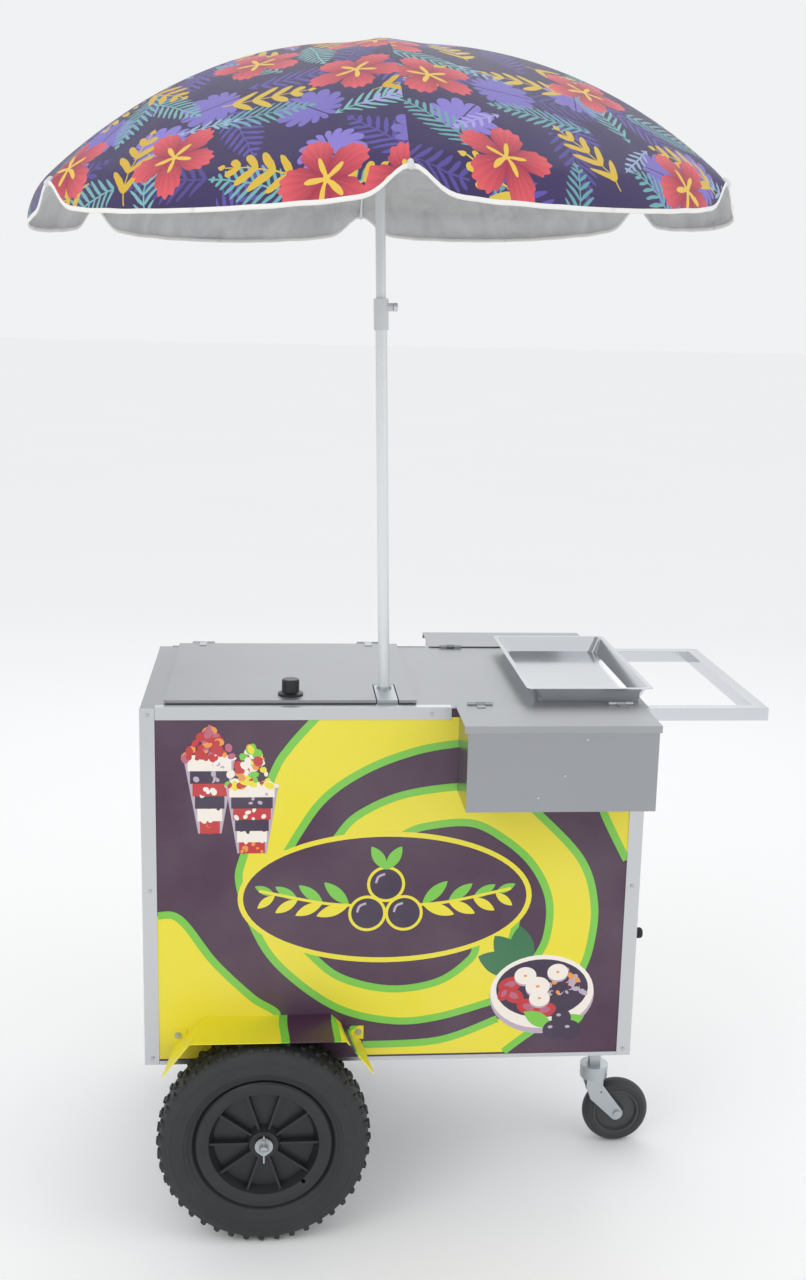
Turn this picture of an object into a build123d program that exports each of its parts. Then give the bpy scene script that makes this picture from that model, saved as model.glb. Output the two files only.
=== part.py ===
"""Push vending cart: a sheet-metal cold box on two big wheels and a swivel caster,
with a hinged lid, two side boxes, a lift-off tray, a push handle and a folding umbrella.

Millimetres, +Z up, +X towards the push handle, -Y towards the buyer.
The origin is on the floor, below the middle of the whole cart.
"""

from build123d import *
from math import atan2, cos, degrees, hypot, radians, sin, sqrt
import os

# ---------------------------------------------------------------- driving dimensions
# Body
BODY_WIDTH = 836
BODY_DEPTH = 450
BASE = 280  # underside of the body above the floor
TOP = 908  # worktop surface above the floor
SHEET = 1.5  # sheet-metal thickness
LEFT = -434
FRONT = -102
RIGHT = LEFT + BODY_WIDTH
BACK = FRONT + BODY_DEPTH
TUBE = 20  # square tube of the hidden frame

# Cold box
TUB_LEFT = LEFT + 62
TUB_RIGHT = LEFT + 378
TUB_FRONT = FRONT + 62
TUB_BACK = BACK - 58
TUB_FLOOR = 466
TUB_WALL = 1.2
FOAM_FLOOR = 430
FOAM_TOP = 890

# Lid
LID_LEFT = LEFT + 37
LID_RIGHT = LEFT + 450
LID_FRONT = FRONT + 21
LID_BACK = BACK - 5
GASKET = 2.0
LID_TOP = TOP + 7.5
LID_HINGE_Y = BACK + 3
LID_HINGE_Z = TOP + 6
LID_HINGES = (LEFT + 82, LEFT + 395)
HINGE_LENGTH = 42
KNOB_X = LEFT + 243
KNOB_Y = FRONT + 58

# Side boxes
BOX_LEFT = LEFT + 519
BOX_RIGHT = LEFT + 825
BOX_REACH = 118  # how far each box stands out from the body
BOX_BOTTOM = TOP - 140
BOX_HINGE_INSET = 10  # hinge axis inside the body's edge
BOX_HINGES = (LEFT + 554, LEFT + 790)

# Tray
TRAY_LEFT = LEFT + 634
TRAY_RIGHT = LEFT + 848
TRAY_FRONT = FRONT + 20
TRAY_BACK = BACK - 20
TRAY_HEIGHT = 27

# Push handle
HANDLE_TUBE = 22
HANDLE_WALL = 1.5
HANDLE_START = LEFT + 700
HANDLE_END = RIGHT + 204

# Big wheels
WHEEL_X = LEFT + 201
WHEEL_RADIUS = 180
WHEEL_REACH = 65  # tyre's middle plane outside the body's face
TYRE_WIDTH = 84
RIM_RADIUS = 115
AXLE_RADIUS = 8

# Caster
CASTER_X = LEFT + 822
CASTER_Y = FRONT + 199
CASTER_TRAIL = 44
CASTER_RADIUS = 62.5
CASTER_WIDTH = 32

# Umbrella: heights are measured along the pole from the worktop
POLE_X = LEFT + 402
POLE_LEAN = 1.5  # degrees, towards -X
POLE_RADIUS = 9.5
MAST_RADIUS = 8
SOCKET_DEPTH = 230
CLAMP_HEIGHT = 625
CROWN_HEIGHT = 1027
APEX_HEIGHT = 1036
DOME_RADIUS = 787
HEM_RADIUS = 553
SKIRT_DROP = 32
CANOPY_CLOTH = 1.5
RIB_COUNT = 6
RIB_FIRST_ANGLE = -90
RIB_WIRE = 2.0  # radius of the rib wire
RIB_TIP = 546
PIVOT_RADIUS = 13
STRUT_ON_RIB = 120
RUNNER_HEIGHT = 890
STRUT_OFFSET = 5.2  # the strut runs beside its rib

os.makedirs("parts", exist_ok=True)


def finish(builder, name):
    """Label the piece, print its size and write its STEP file."""
    builder.part.label = name
    export_step(builder.part, f"parts/{name}.step")
    print(f"{name:26s} solids {len(builder.part.solids())}  volume {builder.part.volume:12.1f}")


def block(x0, x1, y0, y1, z0, z1, mode=Mode.ADD):
    """A box between two corners, added to the part that is being built."""
    with Locations(((x0 + x1) / 2, (y0 + y1) / 2, (z0 + z1) / 2)):
        Box(x1 - x0, y1 - y0, z1 - z0, mode=mode)


def rod(centre, radius, length, direction="Z", mode=Mode.ADD):
    """A cylinder about a centre point, along X, Y or Z."""
    turn = {"X": (0, 90, 0), "Y": (90, 0, 0), "Z": (0, 0, 0)}[direction]
    with Locations(centre):
        Cylinder(radius, length, rotation=turn, mode=mode)


# ---------------------------------------------------------------- body shell
with BuildPart() as front_panel:
    block(LEFT, RIGHT, FRONT, FRONT + SHEET, BASE, TOP - SHEET)
finish(front_panel, "front_panel")

with BuildPart() as back_panel:
    block(LEFT, RIGHT, BACK - SHEET, BACK, BASE, TOP - SHEET)
finish(back_panel, "back_panel")

HANDLE_TOP = TOP - SHEET
HANDLE_BOTTOM = HANDLE_TOP - HANDLE_TUBE
DRAIN_Y = FRONT + 80
DRAIN_Z = TUB_FLOOR + 7
DRAIN_RADIUS = 7  # of the holes the drain pipe passes through

# The right side is pierced by the two handle tubes and by the drain pipe.
with BuildPart() as side_panels:
    for x in (LEFT, RIGHT - SHEET):
        block(x, x + SHEET, FRONT + SHEET, BACK - SHEET, BASE, TOP - SHEET)
    for side in (FRONT + SHEET, BACK - SHEET - HANDLE_TUBE):
        block(RIGHT - 5, RIGHT + 5, side - 1, side + HANDLE_TUBE + 1, HANDLE_BOTTOM, TOP, mode=Mode.SUBTRACT)
    rod((RIGHT, DRAIN_Y, DRAIN_Z), DRAIN_RADIUS, 20, "X", mode=Mode.SUBTRACT)
finish(side_panels, "side_panels")

with BuildPart() as floor_pan:
    block(LEFT + SHEET, RIGHT - SHEET, FRONT + SHEET, BACK - SHEET, BASE, BASE + SHEET)
finish(floor_pan, "floor_pan")

# The worktop sheet has one opening, above the tub; the rest is counter and rim.
OPENING_MARGIN = 4
with BuildPart() as worktop:
    block(LEFT, RIGHT, FRONT, BACK, TOP - SHEET, TOP)
    block(
        TUB_LEFT - OPENING_MARGIN,
        TUB_RIGHT + OPENING_MARGIN,
        TUB_FRONT - OPENING_MARGIN,
        TUB_BACK + OPENING_MARGIN,
        TOP - 5,
        TOP + 5,
        mode=Mode.SUBTRACT,
    )
    with Locations((POLE_X, 0, TOP)):
        Cylinder(16, 10, mode=Mode.SUBTRACT)
finish(worktop, "worktop")

# ---------------------------------------------------------------- edge trims
TRIM = 1.2
TRIM_FACE = 23
TRIM_TOP_FACE = 20
BOTTOM_TRIM_FACE = 7


def corner_angle(x, y, x_side, y_side):
    """An upright angle trim on one corner of the body: one flange on each face."""
    x_far = x - x_side * TRIM_FACE
    x_out = x + x_side * TRIM
    y_far = y - y_side * TRIM_FACE
    y_out = y + y_side * TRIM
    low = BASE
    high = TOP - 0.2
    block(min(x_far, x_out), max(x_far, x_out), min(y, y_out), max(y, y_out), low, high)
    block(min(x, x_out), max(x, x_out), min(y, y_far), max(y, y_far), low, HANDLE_BOTTOM - 1)


with BuildPart() as corner_trims:
    for x, x_side in ((LEFT, -1), (RIGHT, 1)):
        for y, y_side in ((FRONT, -1), (BACK, 1)):
            corner_angle(x, y, x_side, y_side)
finish(corner_trims, "corner_trims")

# Long trims run along the top and bottom edges between the corner trims.
TOP_TRIM_END = LEFT + 506
with BuildPart() as edge_trims:
    for y, y_side in ((FRONT, -1), (BACK, 1)):
        y_out = y + y_side * TRIM
        block(
            LEFT + TRIM_FACE + 0.5,
            TOP_TRIM_END,
            min(y, y_out),
            max(y, y_out),
            TOP - TRIM_TOP_FACE,
            TOP + TRIM,
        )
    block(LEFT + TRIM_FACE + 0.5, TOP_TRIM_END, FRONT, FRONT + 15, TOP, TOP + TRIM)
    for y, y_side in ((FRONT, -1), (BACK, 1)):
        y_out = y + y_side * TRIM
        block(
            LEFT + TRIM_FACE + 0.5,
            RIGHT - TRIM_FACE - 0.5,
            min(y, y_out),
            max(y, y_out),
            BASE,
            BASE + BOTTOM_TRIM_FACE,
        )
finish(edge_trims, "edge_trims")

# ---------------------------------------------------------------- hidden frame
FRAME_LOW = BASE + SHEET
FRAME_X0 = LEFT + SHEET
FRAME_X1 = RIGHT - SHEET
FRAME_Y0 = FRONT + SHEET
FRAME_Y1 = BACK - SHEET
with BuildPart() as tube_frame:
    for x in (FRAME_X0, FRAME_X1 - TUBE):
        for y in (FRAME_Y0, FRAME_Y1 - TUBE):
            block(x, x + TUBE, y, y + TUBE, FRAME_LOW, HANDLE_BOTTOM)
            block(x + 2, x + TUBE - 2, y + 2, y + TUBE - 2, FRAME_LOW, HANDLE_BOTTOM, mode=Mode.SUBTRACT)
    for x in (FRAME_X0, FRAME_X1 - TUBE):
        block(x, x + TUBE, FRAME_Y0 + TUBE, FRAME_Y1 - TUBE, FRAME_LOW, FRAME_LOW + TUBE)
    for y in (FRAME_Y0, FRAME_Y1 - TUBE):
        block(FRAME_X0 + TUBE, FRAME_X1 - TUBE, y, y + TUBE, FRAME_LOW, FRAME_LOW + TUBE)
    for y in (FRAME_Y0, FRAME_Y1 - TUBE):
        block(FRAME_X0, HANDLE_START - 1, y, y + TUBE, HANDLE_BOTTOM, HANDLE_TOP)
    block(
        FRAME_X0, FRAME_X0 + TUBE, FRAME_Y0 + TUBE, FRAME_Y1 - TUBE, HANDLE_BOTTOM, HANDLE_TOP
    )
finish(tube_frame, "tube_frame")

# ---------------------------------------------------------------- cold box
SOCKET_OUTER = 12.5
SOCKET_BORE = 10.5
LEAN = radians(POLE_LEAN)
POLE_FRAME = Plane(origin=(POLE_X, 0, TOP), x_dir=(cos(LEAN), 0, sin(LEAN)), z_dir=(-sin(LEAN), 0, cos(LEAN)))
POLE_AXIS = Axis(POLE_FRAME.origin, POLE_FRAME.z_dir)


def along_pole(low, high, outer, inner=0.0, mode=Mode.ADD):
    """A round bar or tube on the pole's axis, between two heights on the pole."""
    with BuildSketch(POLE_FRAME.offset(low)) as section:
        Circle(outer)
        if inner:
            Circle(inner, mode=Mode.SUBTRACT)
    extrude(section.sketch, amount=high - low, mode=mode)


with BuildPart() as insulation:
    block(
        FRAME_X0 + TUBE + 0.5,
        LEFT + 470,
        FRAME_Y0 + TUBE + 0.5,
        FRAME_Y1 - TUBE - 0.5,
        FOAM_FLOOR,
        FOAM_TOP,
    )
    block(
        TUB_LEFT - TUB_WALL,
        TUB_RIGHT + TUB_WALL,
        TUB_FRONT - TUB_WALL,
        TUB_BACK + TUB_WALL,
        TUB_FLOOR - TUB_WALL,
        FOAM_TOP + 1,
        mode=Mode.SUBTRACT,
    )
    along_pole(-SOCKET_DEPTH - 6, 10, SOCKET_OUTER + 1, mode=Mode.SUBTRACT)
    rod((TUB_RIGHT + 60, DRAIN_Y, DRAIN_Z), DRAIN_RADIUS, 130, "X", mode=Mode.SUBTRACT)
finish(insulation, "insulation")

with BuildPart() as inner_tub:
    block(
        TUB_LEFT - TUB_WALL,
        TUB_RIGHT + TUB_WALL,
        TUB_FRONT - TUB_WALL,
        TUB_BACK + TUB_WALL,
        TUB_FLOOR - TUB_WALL,
        TOP - SHEET,
    )
    block(TUB_LEFT, TUB_RIGHT, TUB_FRONT, TUB_BACK, TUB_FLOOR, TOP + 1, mode=Mode.SUBTRACT)
    rod((TUB_RIGHT, DRAIN_Y, DRAIN_Z), 5, 20, "X", mode=Mode.SUBTRACT)
finish(inner_tub, "inner_tub")

# The rubber seal runs round the lid's edge; it shows as a dark line under the front.
SEAL_WIDTH = 12
BRIDGE_LEFT = POLE_X - 17
BRIDGE_RIGHT = POLE_X + 17
BRIDGE_BACK = 22
NOTCH_GAP = 2
with BuildPart() as lid_gasket:
    block(LID_LEFT + 3, LID_RIGHT - 3, LID_FRONT + 2, LID_BACK - 6, TOP, TOP + GASKET)
    block(
        LID_LEFT + 3 + SEAL_WIDTH,
        LID_RIGHT - 3 - SEAL_WIDTH,
        LID_FRONT + 2 + SEAL_WIDTH,
        LID_BACK - 6 - SEAL_WIDTH,
        TOP - 1,
        TOP + GASKET + 1,
        mode=Mode.SUBTRACT,
    )
    block(BRIDGE_LEFT - 1, BRIDGE_RIGHT + 1, FRONT, BRIDGE_BACK, TOP - 1, TOP + 5, mode=Mode.SUBTRACT)
finish(lid_gasket, "lid_gasket")

# The fixed bridge fills the lid's notch, so the lid opens while the umbrella stands.
with BuildPart() as umbrella_socket:
    block(BRIDGE_LEFT, BRIDGE_RIGHT, LID_FRONT, BRIDGE_BACK, TOP, LID_TOP)
    along_pole(-SOCKET_DEPTH, 11, SOCKET_OUTER)
    along_pole(-SOCKET_DEPTH, 20, SOCKET_BORE, mode=Mode.SUBTRACT)
    along_pole(-SOCKET_DEPTH - 3, -SOCKET_DEPTH, SOCKET_OUTER)
    fillet(umbrella_socket.edges().group_by(Axis.Z)[-1], 0.6)
finish(umbrella_socket, "umbrella_socket")

DRAIN_START = TUB_RIGHT + TUB_WALL + 0.3
DRAIN_END = RIGHT + 16
with BuildPart() as drain_pipe:
    rod(((DRAIN_START + DRAIN_END) / 2, DRAIN_Y, DRAIN_Z), 6, DRAIN_END - DRAIN_START, "X")
    rod((RIGHT + 1, DRAIN_Y, DRAIN_Z), 12, 2, "X")
    rod((RIGHT, DRAIN_Y, DRAIN_Z), 4.6, 1000, "X", mode=Mode.SUBTRACT)
finish(drain_pipe, "drain_pipe")

# A rubber cap is pushed over the pipe's end.
CAP_START = RIGHT + 3
CAP_END = RIGHT + 32
with BuildPart() as drain_cap:
    rod(((CAP_START + CAP_END) / 2, DRAIN_Y, DRAIN_Z), 9.5, CAP_END - CAP_START, "X")
    fillet(drain_cap.edges().group_by(Axis.X)[-1], 5)
    rod((DRAIN_END - 12, DRAIN_Y, DRAIN_Z), 6.06, 25, "X", mode=Mode.SUBTRACT)
finish(drain_cap, "drain_cap")

# ---------------------------------------------------------------- lid
with BuildPart() as lid:
    block(TUB_LEFT + 4, TUB_RIGHT - 6, TUB_FRONT + 4, TUB_BACK - 6, TOP - 16, TOP + GASKET + 0.2)
    fillet(lid.edges().filter_by(Axis.Z), 8)
    block(LID_LEFT, LID_RIGHT, LID_FRONT, LID_BACK, TOP + GASKET + 0.2, LID_TOP)
    block(
        BRIDGE_LEFT - NOTCH_GAP,
        BRIDGE_RIGHT + NOTCH_GAP,
        LID_FRONT - 1,
        BRIDGE_BACK + NOTCH_GAP,
        TOP,
        LID_TOP + 1,
        mode=Mode.SUBTRACT,
    )
finish(lid, "lid")

with BuildPart() as lid_knob:
    with BuildSketch(Plane(origin=(KNOB_X, KNOB_Y, LID_TOP), x_dir=(1, 0, 0), z_dir=(0, -1, 0))):
        with BuildLine():
            Polyline((0, 0), (21, 0), (21, 3.5), (14.5, 6), (14.5, 24))
            ThreePointArc((14.5, 24), (13.6, 26.3), (11.5, 27))
            Polyline((11.5, 27), (0, 27), (0, 0))
        make_face()
    revolve(axis=Axis((KNOB_X, KNOB_Y, 0), (0, 0, 1)))
finish(lid_knob, "lid_knob")

BARREL = 3.6
PIN = 1.5
PIN_FIT = 0.06


def hinge_barrel(x, y, z, first):
    """Knuckles along X, in turn: this leaf has the outer two or the middle one."""
    third = HINGE_LENGTH / 3
    spots = (-third, third) if first else (0,)
    for spot in spots:
        rod((x + spot, y, z), BARREL, third - 0.6, "X")
        rod((x + spot, y, z), PIN + PIN_FIT, third + 2, "X", mode=Mode.SUBTRACT)


with BuildPart() as lid_hinge_leaves:
    for x in LID_HINGES:
        half = HINGE_LENGTH / 6 - 0.3
        block(x - half, x + half, LID_BACK - 22, LID_HINGE_Y, LID_TOP, LID_TOP + 1.5)
        hinge_barrel(x, LID_HINGE_Y, LID_HINGE_Z, False)
finish(lid_hinge_leaves, "lid_hinge_leaves")

with BuildPart() as lid_hinges:
    for x in LID_HINGES:
        for spot in (-HINGE_LENGTH / 3, HINGE_LENGTH / 3):
            half = HINGE_LENGTH / 6 - 0.3
            block(
                x + spot - half, x + spot + half, BACK + TRIM, BACK + TRIM + 1.5, TOP - 26, LID_HINGE_Z
            )
        hinge_barrel(x, LID_HINGE_Y, LID_HINGE_Z, True)
        rod((x, LID_HINGE_Y, LID_HINGE_Z), PIN, HINGE_LENGTH + 1, "X")
finish(lid_hinges, "lid_hinges")

# ---------------------------------------------------------------- side boxes
BOX_LID_TOP = TOP + 2.6


def side_box(edge, out):
    """A folded sheet box outside one face and its trim, open at the top."""
    near = edge + out * TRIM
    far = edge + out * BOX_REACH
    low, high = min(near, far), max(near, far)
    block(BOX_LEFT, BOX_RIGHT, low, high, BOX_BOTTOM, TOP - 0.2)
    block(
        BOX_LEFT + SHEET,
        BOX_RIGHT - SHEET,
        low + SHEET,
        high - SHEET,
        BOX_BOTTOM + SHEET,
        TOP + 1,
        mode=Mode.SUBTRACT,
    )


def box_lid(edge, out):
    """A flat sheet lid with a short turned-down front lip, hinged on the worktop."""
    far = edge + out * (BOX_REACH + 3.5)
    near = edge - out * (BOX_HINGE_INSET - 4)
    lip = far - out * SHEET
    block(BOX_LEFT - 6, BOX_RIGHT + 3, min(far, near), max(far, near), TOP + 1.1, BOX_LID_TOP)
    block(BOX_LEFT - 6, BOX_RIGHT + 3, min(far, lip), max(far, lip), TOP - 9, TOP + 1.1)


def box_hinges(edge, out, first):
    """Small butt hinges on the worktop's edge: fixed leaf first, lid leaf second."""
    axis_y = edge - out * BOX_HINGE_INSET
    axis_z = TOP + BARREL + 0.4
    third = HINGE_LENGTH / 3
    for x in BOX_HINGES:
        if first:
            for spot in (-third, third):
                with Locations((x + spot, axis_y, TOP + 0.75)):
                    Box(third - 0.6, 5, 1.5)
        else:
            near = axis_y
            far = edge + out * 12
            block(
                x - third / 2 + 0.3,
                x + third / 2 - 0.3,
                min(near, far),
                max(near, far),
                BOX_LID_TOP,
                BOX_LID_TOP + 1.4,
            )
        hinge_barrel(x, axis_y, axis_z, first)


SIDE_BOXES = (("front", FRONT, -1), ("back", BACK, 1))
for side, edge, out in SIDE_BOXES:
    with BuildPart() as box_shell:
        side_box(edge, out)
    finish(box_shell, f"{side}_box")

    with BuildPart() as lid_sheet:
        box_lid(edge, out)
        box_hinges(edge, out, False)
    finish(lid_sheet, f"{side}_box_lid")

with BuildPart() as box_hinge_leaves:
    for _, edge, out in SIDE_BOXES:
        box_hinges(edge, out, True)
        for x in BOX_HINGES:
            rod((x, edge - out * BOX_HINGE_INSET, TOP + BARREL + 0.4), PIN, HINGE_LENGTH + 0.6, "X")
finish(box_hinge_leaves, "box_hinges")

# ---------------------------------------------------------------- tray
TRAY_SHEET = 1.2
TRAY_RIM = 7
TRAY_TAPER = 12
TRAY_FOOT = TOP + 0.3
TRAY_MIDDLE = ((TRAY_LEFT + TRAY_RIGHT) / 2, (TRAY_FRONT + TRAY_BACK) / 2)
TRAY_WIDTH = TRAY_RIGHT - TRAY_LEFT
TRAY_LENGTH = TRAY_BACK - TRAY_FRONT


def tray_outline(height, smaller, corner):
    """The tray's rounded outline at one height, drawn in by an equal margin."""
    with BuildSketch(Plane.XY.offset(height)) as outline:
        with Locations(TRAY_MIDDLE):
            RectangleRounded(TRAY_WIDTH - 2 * smaller, TRAY_LENGTH - 2 * smaller, corner)
    return outline.sketch


TRAY_TOP = TRAY_FOOT + TRAY_HEIGHT
with BuildPart() as tray:
    loft([tray_outline(TRAY_FOOT, TRAY_RIM + TRAY_TAPER, 14), tray_outline(TRAY_TOP, TRAY_RIM, 10)])
    extrude(tray_outline(TRAY_TOP - TRAY_SHEET, 0, 10), amount=TRAY_SHEET)
    wall = TRAY_RIM + TRAY_SHEET
    loft(
        [
            tray_outline(TRAY_FOOT + TRAY_SHEET, wall + TRAY_TAPER, 13),
            tray_outline(TRAY_TOP + 1, wall - 0.9, 9),
        ],
        mode=Mode.SUBTRACT,
    )
finish(tray, "tray")

# ---------------------------------------------------------------- push handle
HANDLE_FRONT_Y = FRONT + SHEET
HANDLE_BACK_Y = BACK - SHEET
with BuildPart() as push_handle:
    with BuildSketch(Plane.XY.offset(HANDLE_BOTTOM + 0.2)):
        with BuildLine():
            Polyline(
                (HANDLE_START, HANDLE_FRONT_Y),
                (HANDLE_END, HANDLE_FRONT_Y),
                (HANDLE_END, HANDLE_BACK_Y),
                (HANDLE_START, HANDLE_BACK_Y),
                (HANDLE_START, HANDLE_BACK_Y - HANDLE_TUBE),
                (HANDLE_END - HANDLE_TUBE, HANDLE_BACK_Y - HANDLE_TUBE),
                (HANDLE_END - HANDLE_TUBE, HANDLE_FRONT_Y + HANDLE_TUBE),
                (HANDLE_START, HANDLE_FRONT_Y + HANDLE_TUBE),
                close=True,
            )
        make_face()
    extrude(amount=HANDLE_TUBE - 0.4)
    fillet(push_handle.edges().filter_by(Axis.X), 1.5)
finish(push_handle, "push_handle")

# ---------------------------------------------------------------- wheels, axle, fenders
WHEEL_Z = WHEEL_RADIUS
AXLE_FRONT = FRONT - WHEEL_REACH - 50
AXLE_BACK = BACK + WHEEL_REACH + 50
WHEELS = (("front", FRONT - WHEEL_REACH, -1), ("back", BACK + WHEEL_REACH, 1))
LUG_COUNT = 30
LUG_WIDTH = 17
LUG_HEIGHT = 3.5
LUG_DEPTH = 12  # from the lug's flat top down into the casing
PIN_REACH = 43  # split pin's distance outside the wheel's middle plane
BORE = AXLE_RADIUS + 0.08

with BuildPart() as axle:
    rod((WHEEL_X, (AXLE_FRONT + AXLE_BACK) / 2, WHEEL_Z), AXLE_RADIUS, AXLE_BACK - AXLE_FRONT, "Y")
    for _, middle, out in WHEELS:
        rod((WHEEL_X, middle + out * PIN_REACH, WHEEL_Z), 1.7, 30, "Z", mode=Mode.SUBTRACT)
finish(axle, "axle")


for side, middle, out in WHEELS:
    wheel_axis = Axis((WHEEL_X, 0, WHEEL_Z), (0, 1, 0))
    half = TYRE_WIDTH / 2
    with BuildPart() as tyre:
        with BuildSketch(Plane(origin=(WHEEL_X, middle, WHEEL_Z), x_dir=(0, 1, 0), z_dir=(1, 0, 0))):
            with BuildLine():
                Polyline((-24, 102.5), (-25.6, RIM_RADIUS + 0.5), (-36, RIM_RADIUS + 8))
                ThreePointArc((-36, RIM_RADIUS + 8), (-half, 146), (-34, 169))
                ThreePointArc((-34, 169), (0, WHEEL_RADIUS - LUG_HEIGHT), (34, 169))
                ThreePointArc((34, 169), (half, 146), (36, RIM_RADIUS + 8))
                Polyline((36, RIM_RADIUS + 8), (25.6, RIM_RADIUS + 0.5), (24, 102.5), (18, 102.5))
                Polyline((18, 102.5), (22, 118), (30, 142))
                ThreePointArc((30, 142), (0, 160), (-30, 142))
                Polyline((-30, 142), (-22, 118), (-18, 102.5), (-24, 102.5))
            make_face()
        revolve(axis=wheel_axis)
        lug_top = sqrt(WHEEL_RADIUS**2 - (LUG_WIDTH / 2) ** 2)
        for start in (-1, 1):
            with BuildSketch(Plane.XZ.offset(-middle)):
                with Locations((WHEEL_X, WHEEL_Z)):
                    with PolarLocations(lug_top - LUG_DEPTH / 2, LUG_COUNT, start_angle=3 * start):
                        Rectangle(LUG_DEPTH, LUG_WIDTH)
            extrude(amount=start * 34)
    finish(tyre, f"{side}_tyre")

    with BuildPart() as rim:
        with BuildSketch(Plane(origin=(WHEEL_X, middle, WHEEL_Z), x_dir=(0, 1, 0), z_dir=(1, 0, 0))):
            with BuildLine():
                Polyline(
                    (-26, 101), (-26, 113), (-30, 115), (-33, 112), (-33, 103), (-29, 92), (-12, 84),
                    (-14, 30), (-30, 24), (-30, BORE), (30, BORE), (30, 24), (14, 30), (12, 84), (29, 92),
                    (33, 103), (33, 112), (30, 115), (26, 113), (26, 101), (0, 97), close=True,
                )
            make_face()
        revolve(axis=wheel_axis)
        with BuildSketch(Plane.XZ.offset(-middle)):
            with Locations((WHEEL_X, WHEEL_Z)):
                with PolarLocations(58, 10):
                    Rectangle(72, 4)
        extrude(amount=25, both=True)
        rod((WHEEL_X + 66, middle, WHEEL_Z - 69), 3.5, 200, "Y", mode=Mode.SUBTRACT)
    finish(rim, f"{side}_rim")

with BuildPart() as axle_washers:
    for _, middle, out in WHEELS:
        for reach in (-34.4, 34.4):
            rod((WHEEL_X, middle + out * reach, WHEEL_Z), 15, 2.4, "Y")
            rod((WHEEL_X, middle + out * reach, WHEEL_Z), AXLE_RADIUS + 0.05, 6, "Y", mode=Mode.SUBTRACT)
finish(axle_washers, "axle_washers")

# Each split pin drops through the axle and has a pull ring through its head.
with BuildPart() as split_pins:
    for _, middle, out in WHEELS:
        y = middle + out * PIN_REACH
        rod((WHEEL_X, y, WHEEL_Z - 3), 1.6, 44, "Z")
        with Locations((WHEEL_X, y, WHEEL_Z + 20.5)):
            Torus(3.6, 1.4, rotation=(0, 90, 0))
        with Locations((WHEEL_X, y + out * 10.6, WHEEL_Z + 9)):
            Torus(11, 0.9, rotation=(90, 0, 0))
finish(split_pins, "split_pins")

BRACKET_REACH = 14
with BuildPart() as axle_brackets:
    for y0 in (FRONT + 26, BACK - 30):
        with BuildSketch(Plane.XZ.offset(-y0)):
            with BuildLine():
                Polyline(
                    (WHEEL_X - 70, BASE),
                    (WHEEL_X + 70, BASE),
                    (WHEEL_X + BRACKET_REACH + 6, WHEEL_Z - 10),
                    (WHEEL_X + BRACKET_REACH, WHEEL_Z - BRACKET_REACH - 4),
                    (WHEEL_X - BRACKET_REACH, WHEEL_Z - BRACKET_REACH - 4),
                    (WHEEL_X - BRACKET_REACH - 6, WHEEL_Z - 10),
                    close=True,
                )
            make_face()
            with Locations((WHEEL_X, WHEEL_Z)):
                Circle(AXLE_RADIUS + 0.05, mode=Mode.SUBTRACT)
        extrude(amount=-4)
finish(axle_brackets, "axle_brackets")

FENDER_TOP = WHEEL_RADIUS * 2 + 7
FENDER_REACH = 98
FENDER_SHEET = 1.5


def fender_section(plane, half_top, half_tip, tip_drop):
    """The gable-shaped folded sheet, cut square to the body's face."""
    with BuildSketch(plane) as section:
        with BuildLine():
            Polyline(
                (-half_tip, -tip_drop),
                (-half_top, 0),
                (half_top, 0),
                (half_tip, -tip_drop),
                (half_tip - 2, -tip_drop - 0.4),
                (half_top - 0.8, -FENDER_SHEET),
                (-half_top + 0.8, -FENDER_SHEET),
                (-half_tip + 2, -tip_drop - 0.4),
                close=True,
            )
        make_face()
    return section.sketch


FENDER_X = LEFT + 208
for side, face, out in SIDE_BOXES:
    x_dir = (1, 0, 0)
    near = Plane(origin=(FENDER_X, face, FENDER_TOP), x_dir=x_dir, z_dir=(0, -1, 0))
    far = Plane(origin=(FENDER_X, face + out * FENDER_REACH, FENDER_TOP), x_dir=x_dir, z_dir=(0, -1, 0))
    with BuildPart() as fender:
        loft([fender_section(near, 107, 158, 50), fender_section(far, 129, 175, 59)], ruled=True)
        low, high = min(face, face + out * FENDER_SHEET), max(face, face + out * FENDER_SHEET)
        for x in (FENDER_X - 162, FENDER_X + 138):
            block(x, x + 24, low, high, FENDER_TOP - 46, FENDER_TOP - 22)
    finish(fender, f"{side}_fender")

# Domed screws and rivets: trims, fenders and side boxes.
SCREW_RADIUS = 3.2
SCREW_HEAD = 1.8
with BuildPart() as panel_screws:
    for _, face, out in SIDE_BOXES:
        trim_face = face + out * (TRIM + SCREW_HEAD / 2)
        middle_height = (BASE + TOP) / 2
        for x, z in (
            (LEFT + 12, BASE + 12),
            (LEFT + 12, middle_height),
            (LEFT + 12, TOP - 12),
            (RIGHT - 12, BASE + 12),
            (RIGHT - 12, middle_height),
            (LEFT + 474, TOP - 10),
        ):
            rod((x, trim_face, z), SCREW_RADIUS, SCREW_HEAD, "Y")
        for x in (FENDER_X - 153, FENDER_X + 153):
            rod((x, face + out * 2.0, FENDER_TOP - 33), 6, 1.0, "Y")
            rod((x, face + out * 3.5, FENDER_TOP - 33), 3.4, 2.0, "Y")
        for x, z in ((LEFT + 634, TOP - 116), (LEFT + 675, TOP - 80), (LEFT + 709, TOP - 20)):
            rod((x, face + out * (BOX_REACH + 0.6), z), 2.2, 1.2, "Y")
finish(panel_screws, "panel_screws")

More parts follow.
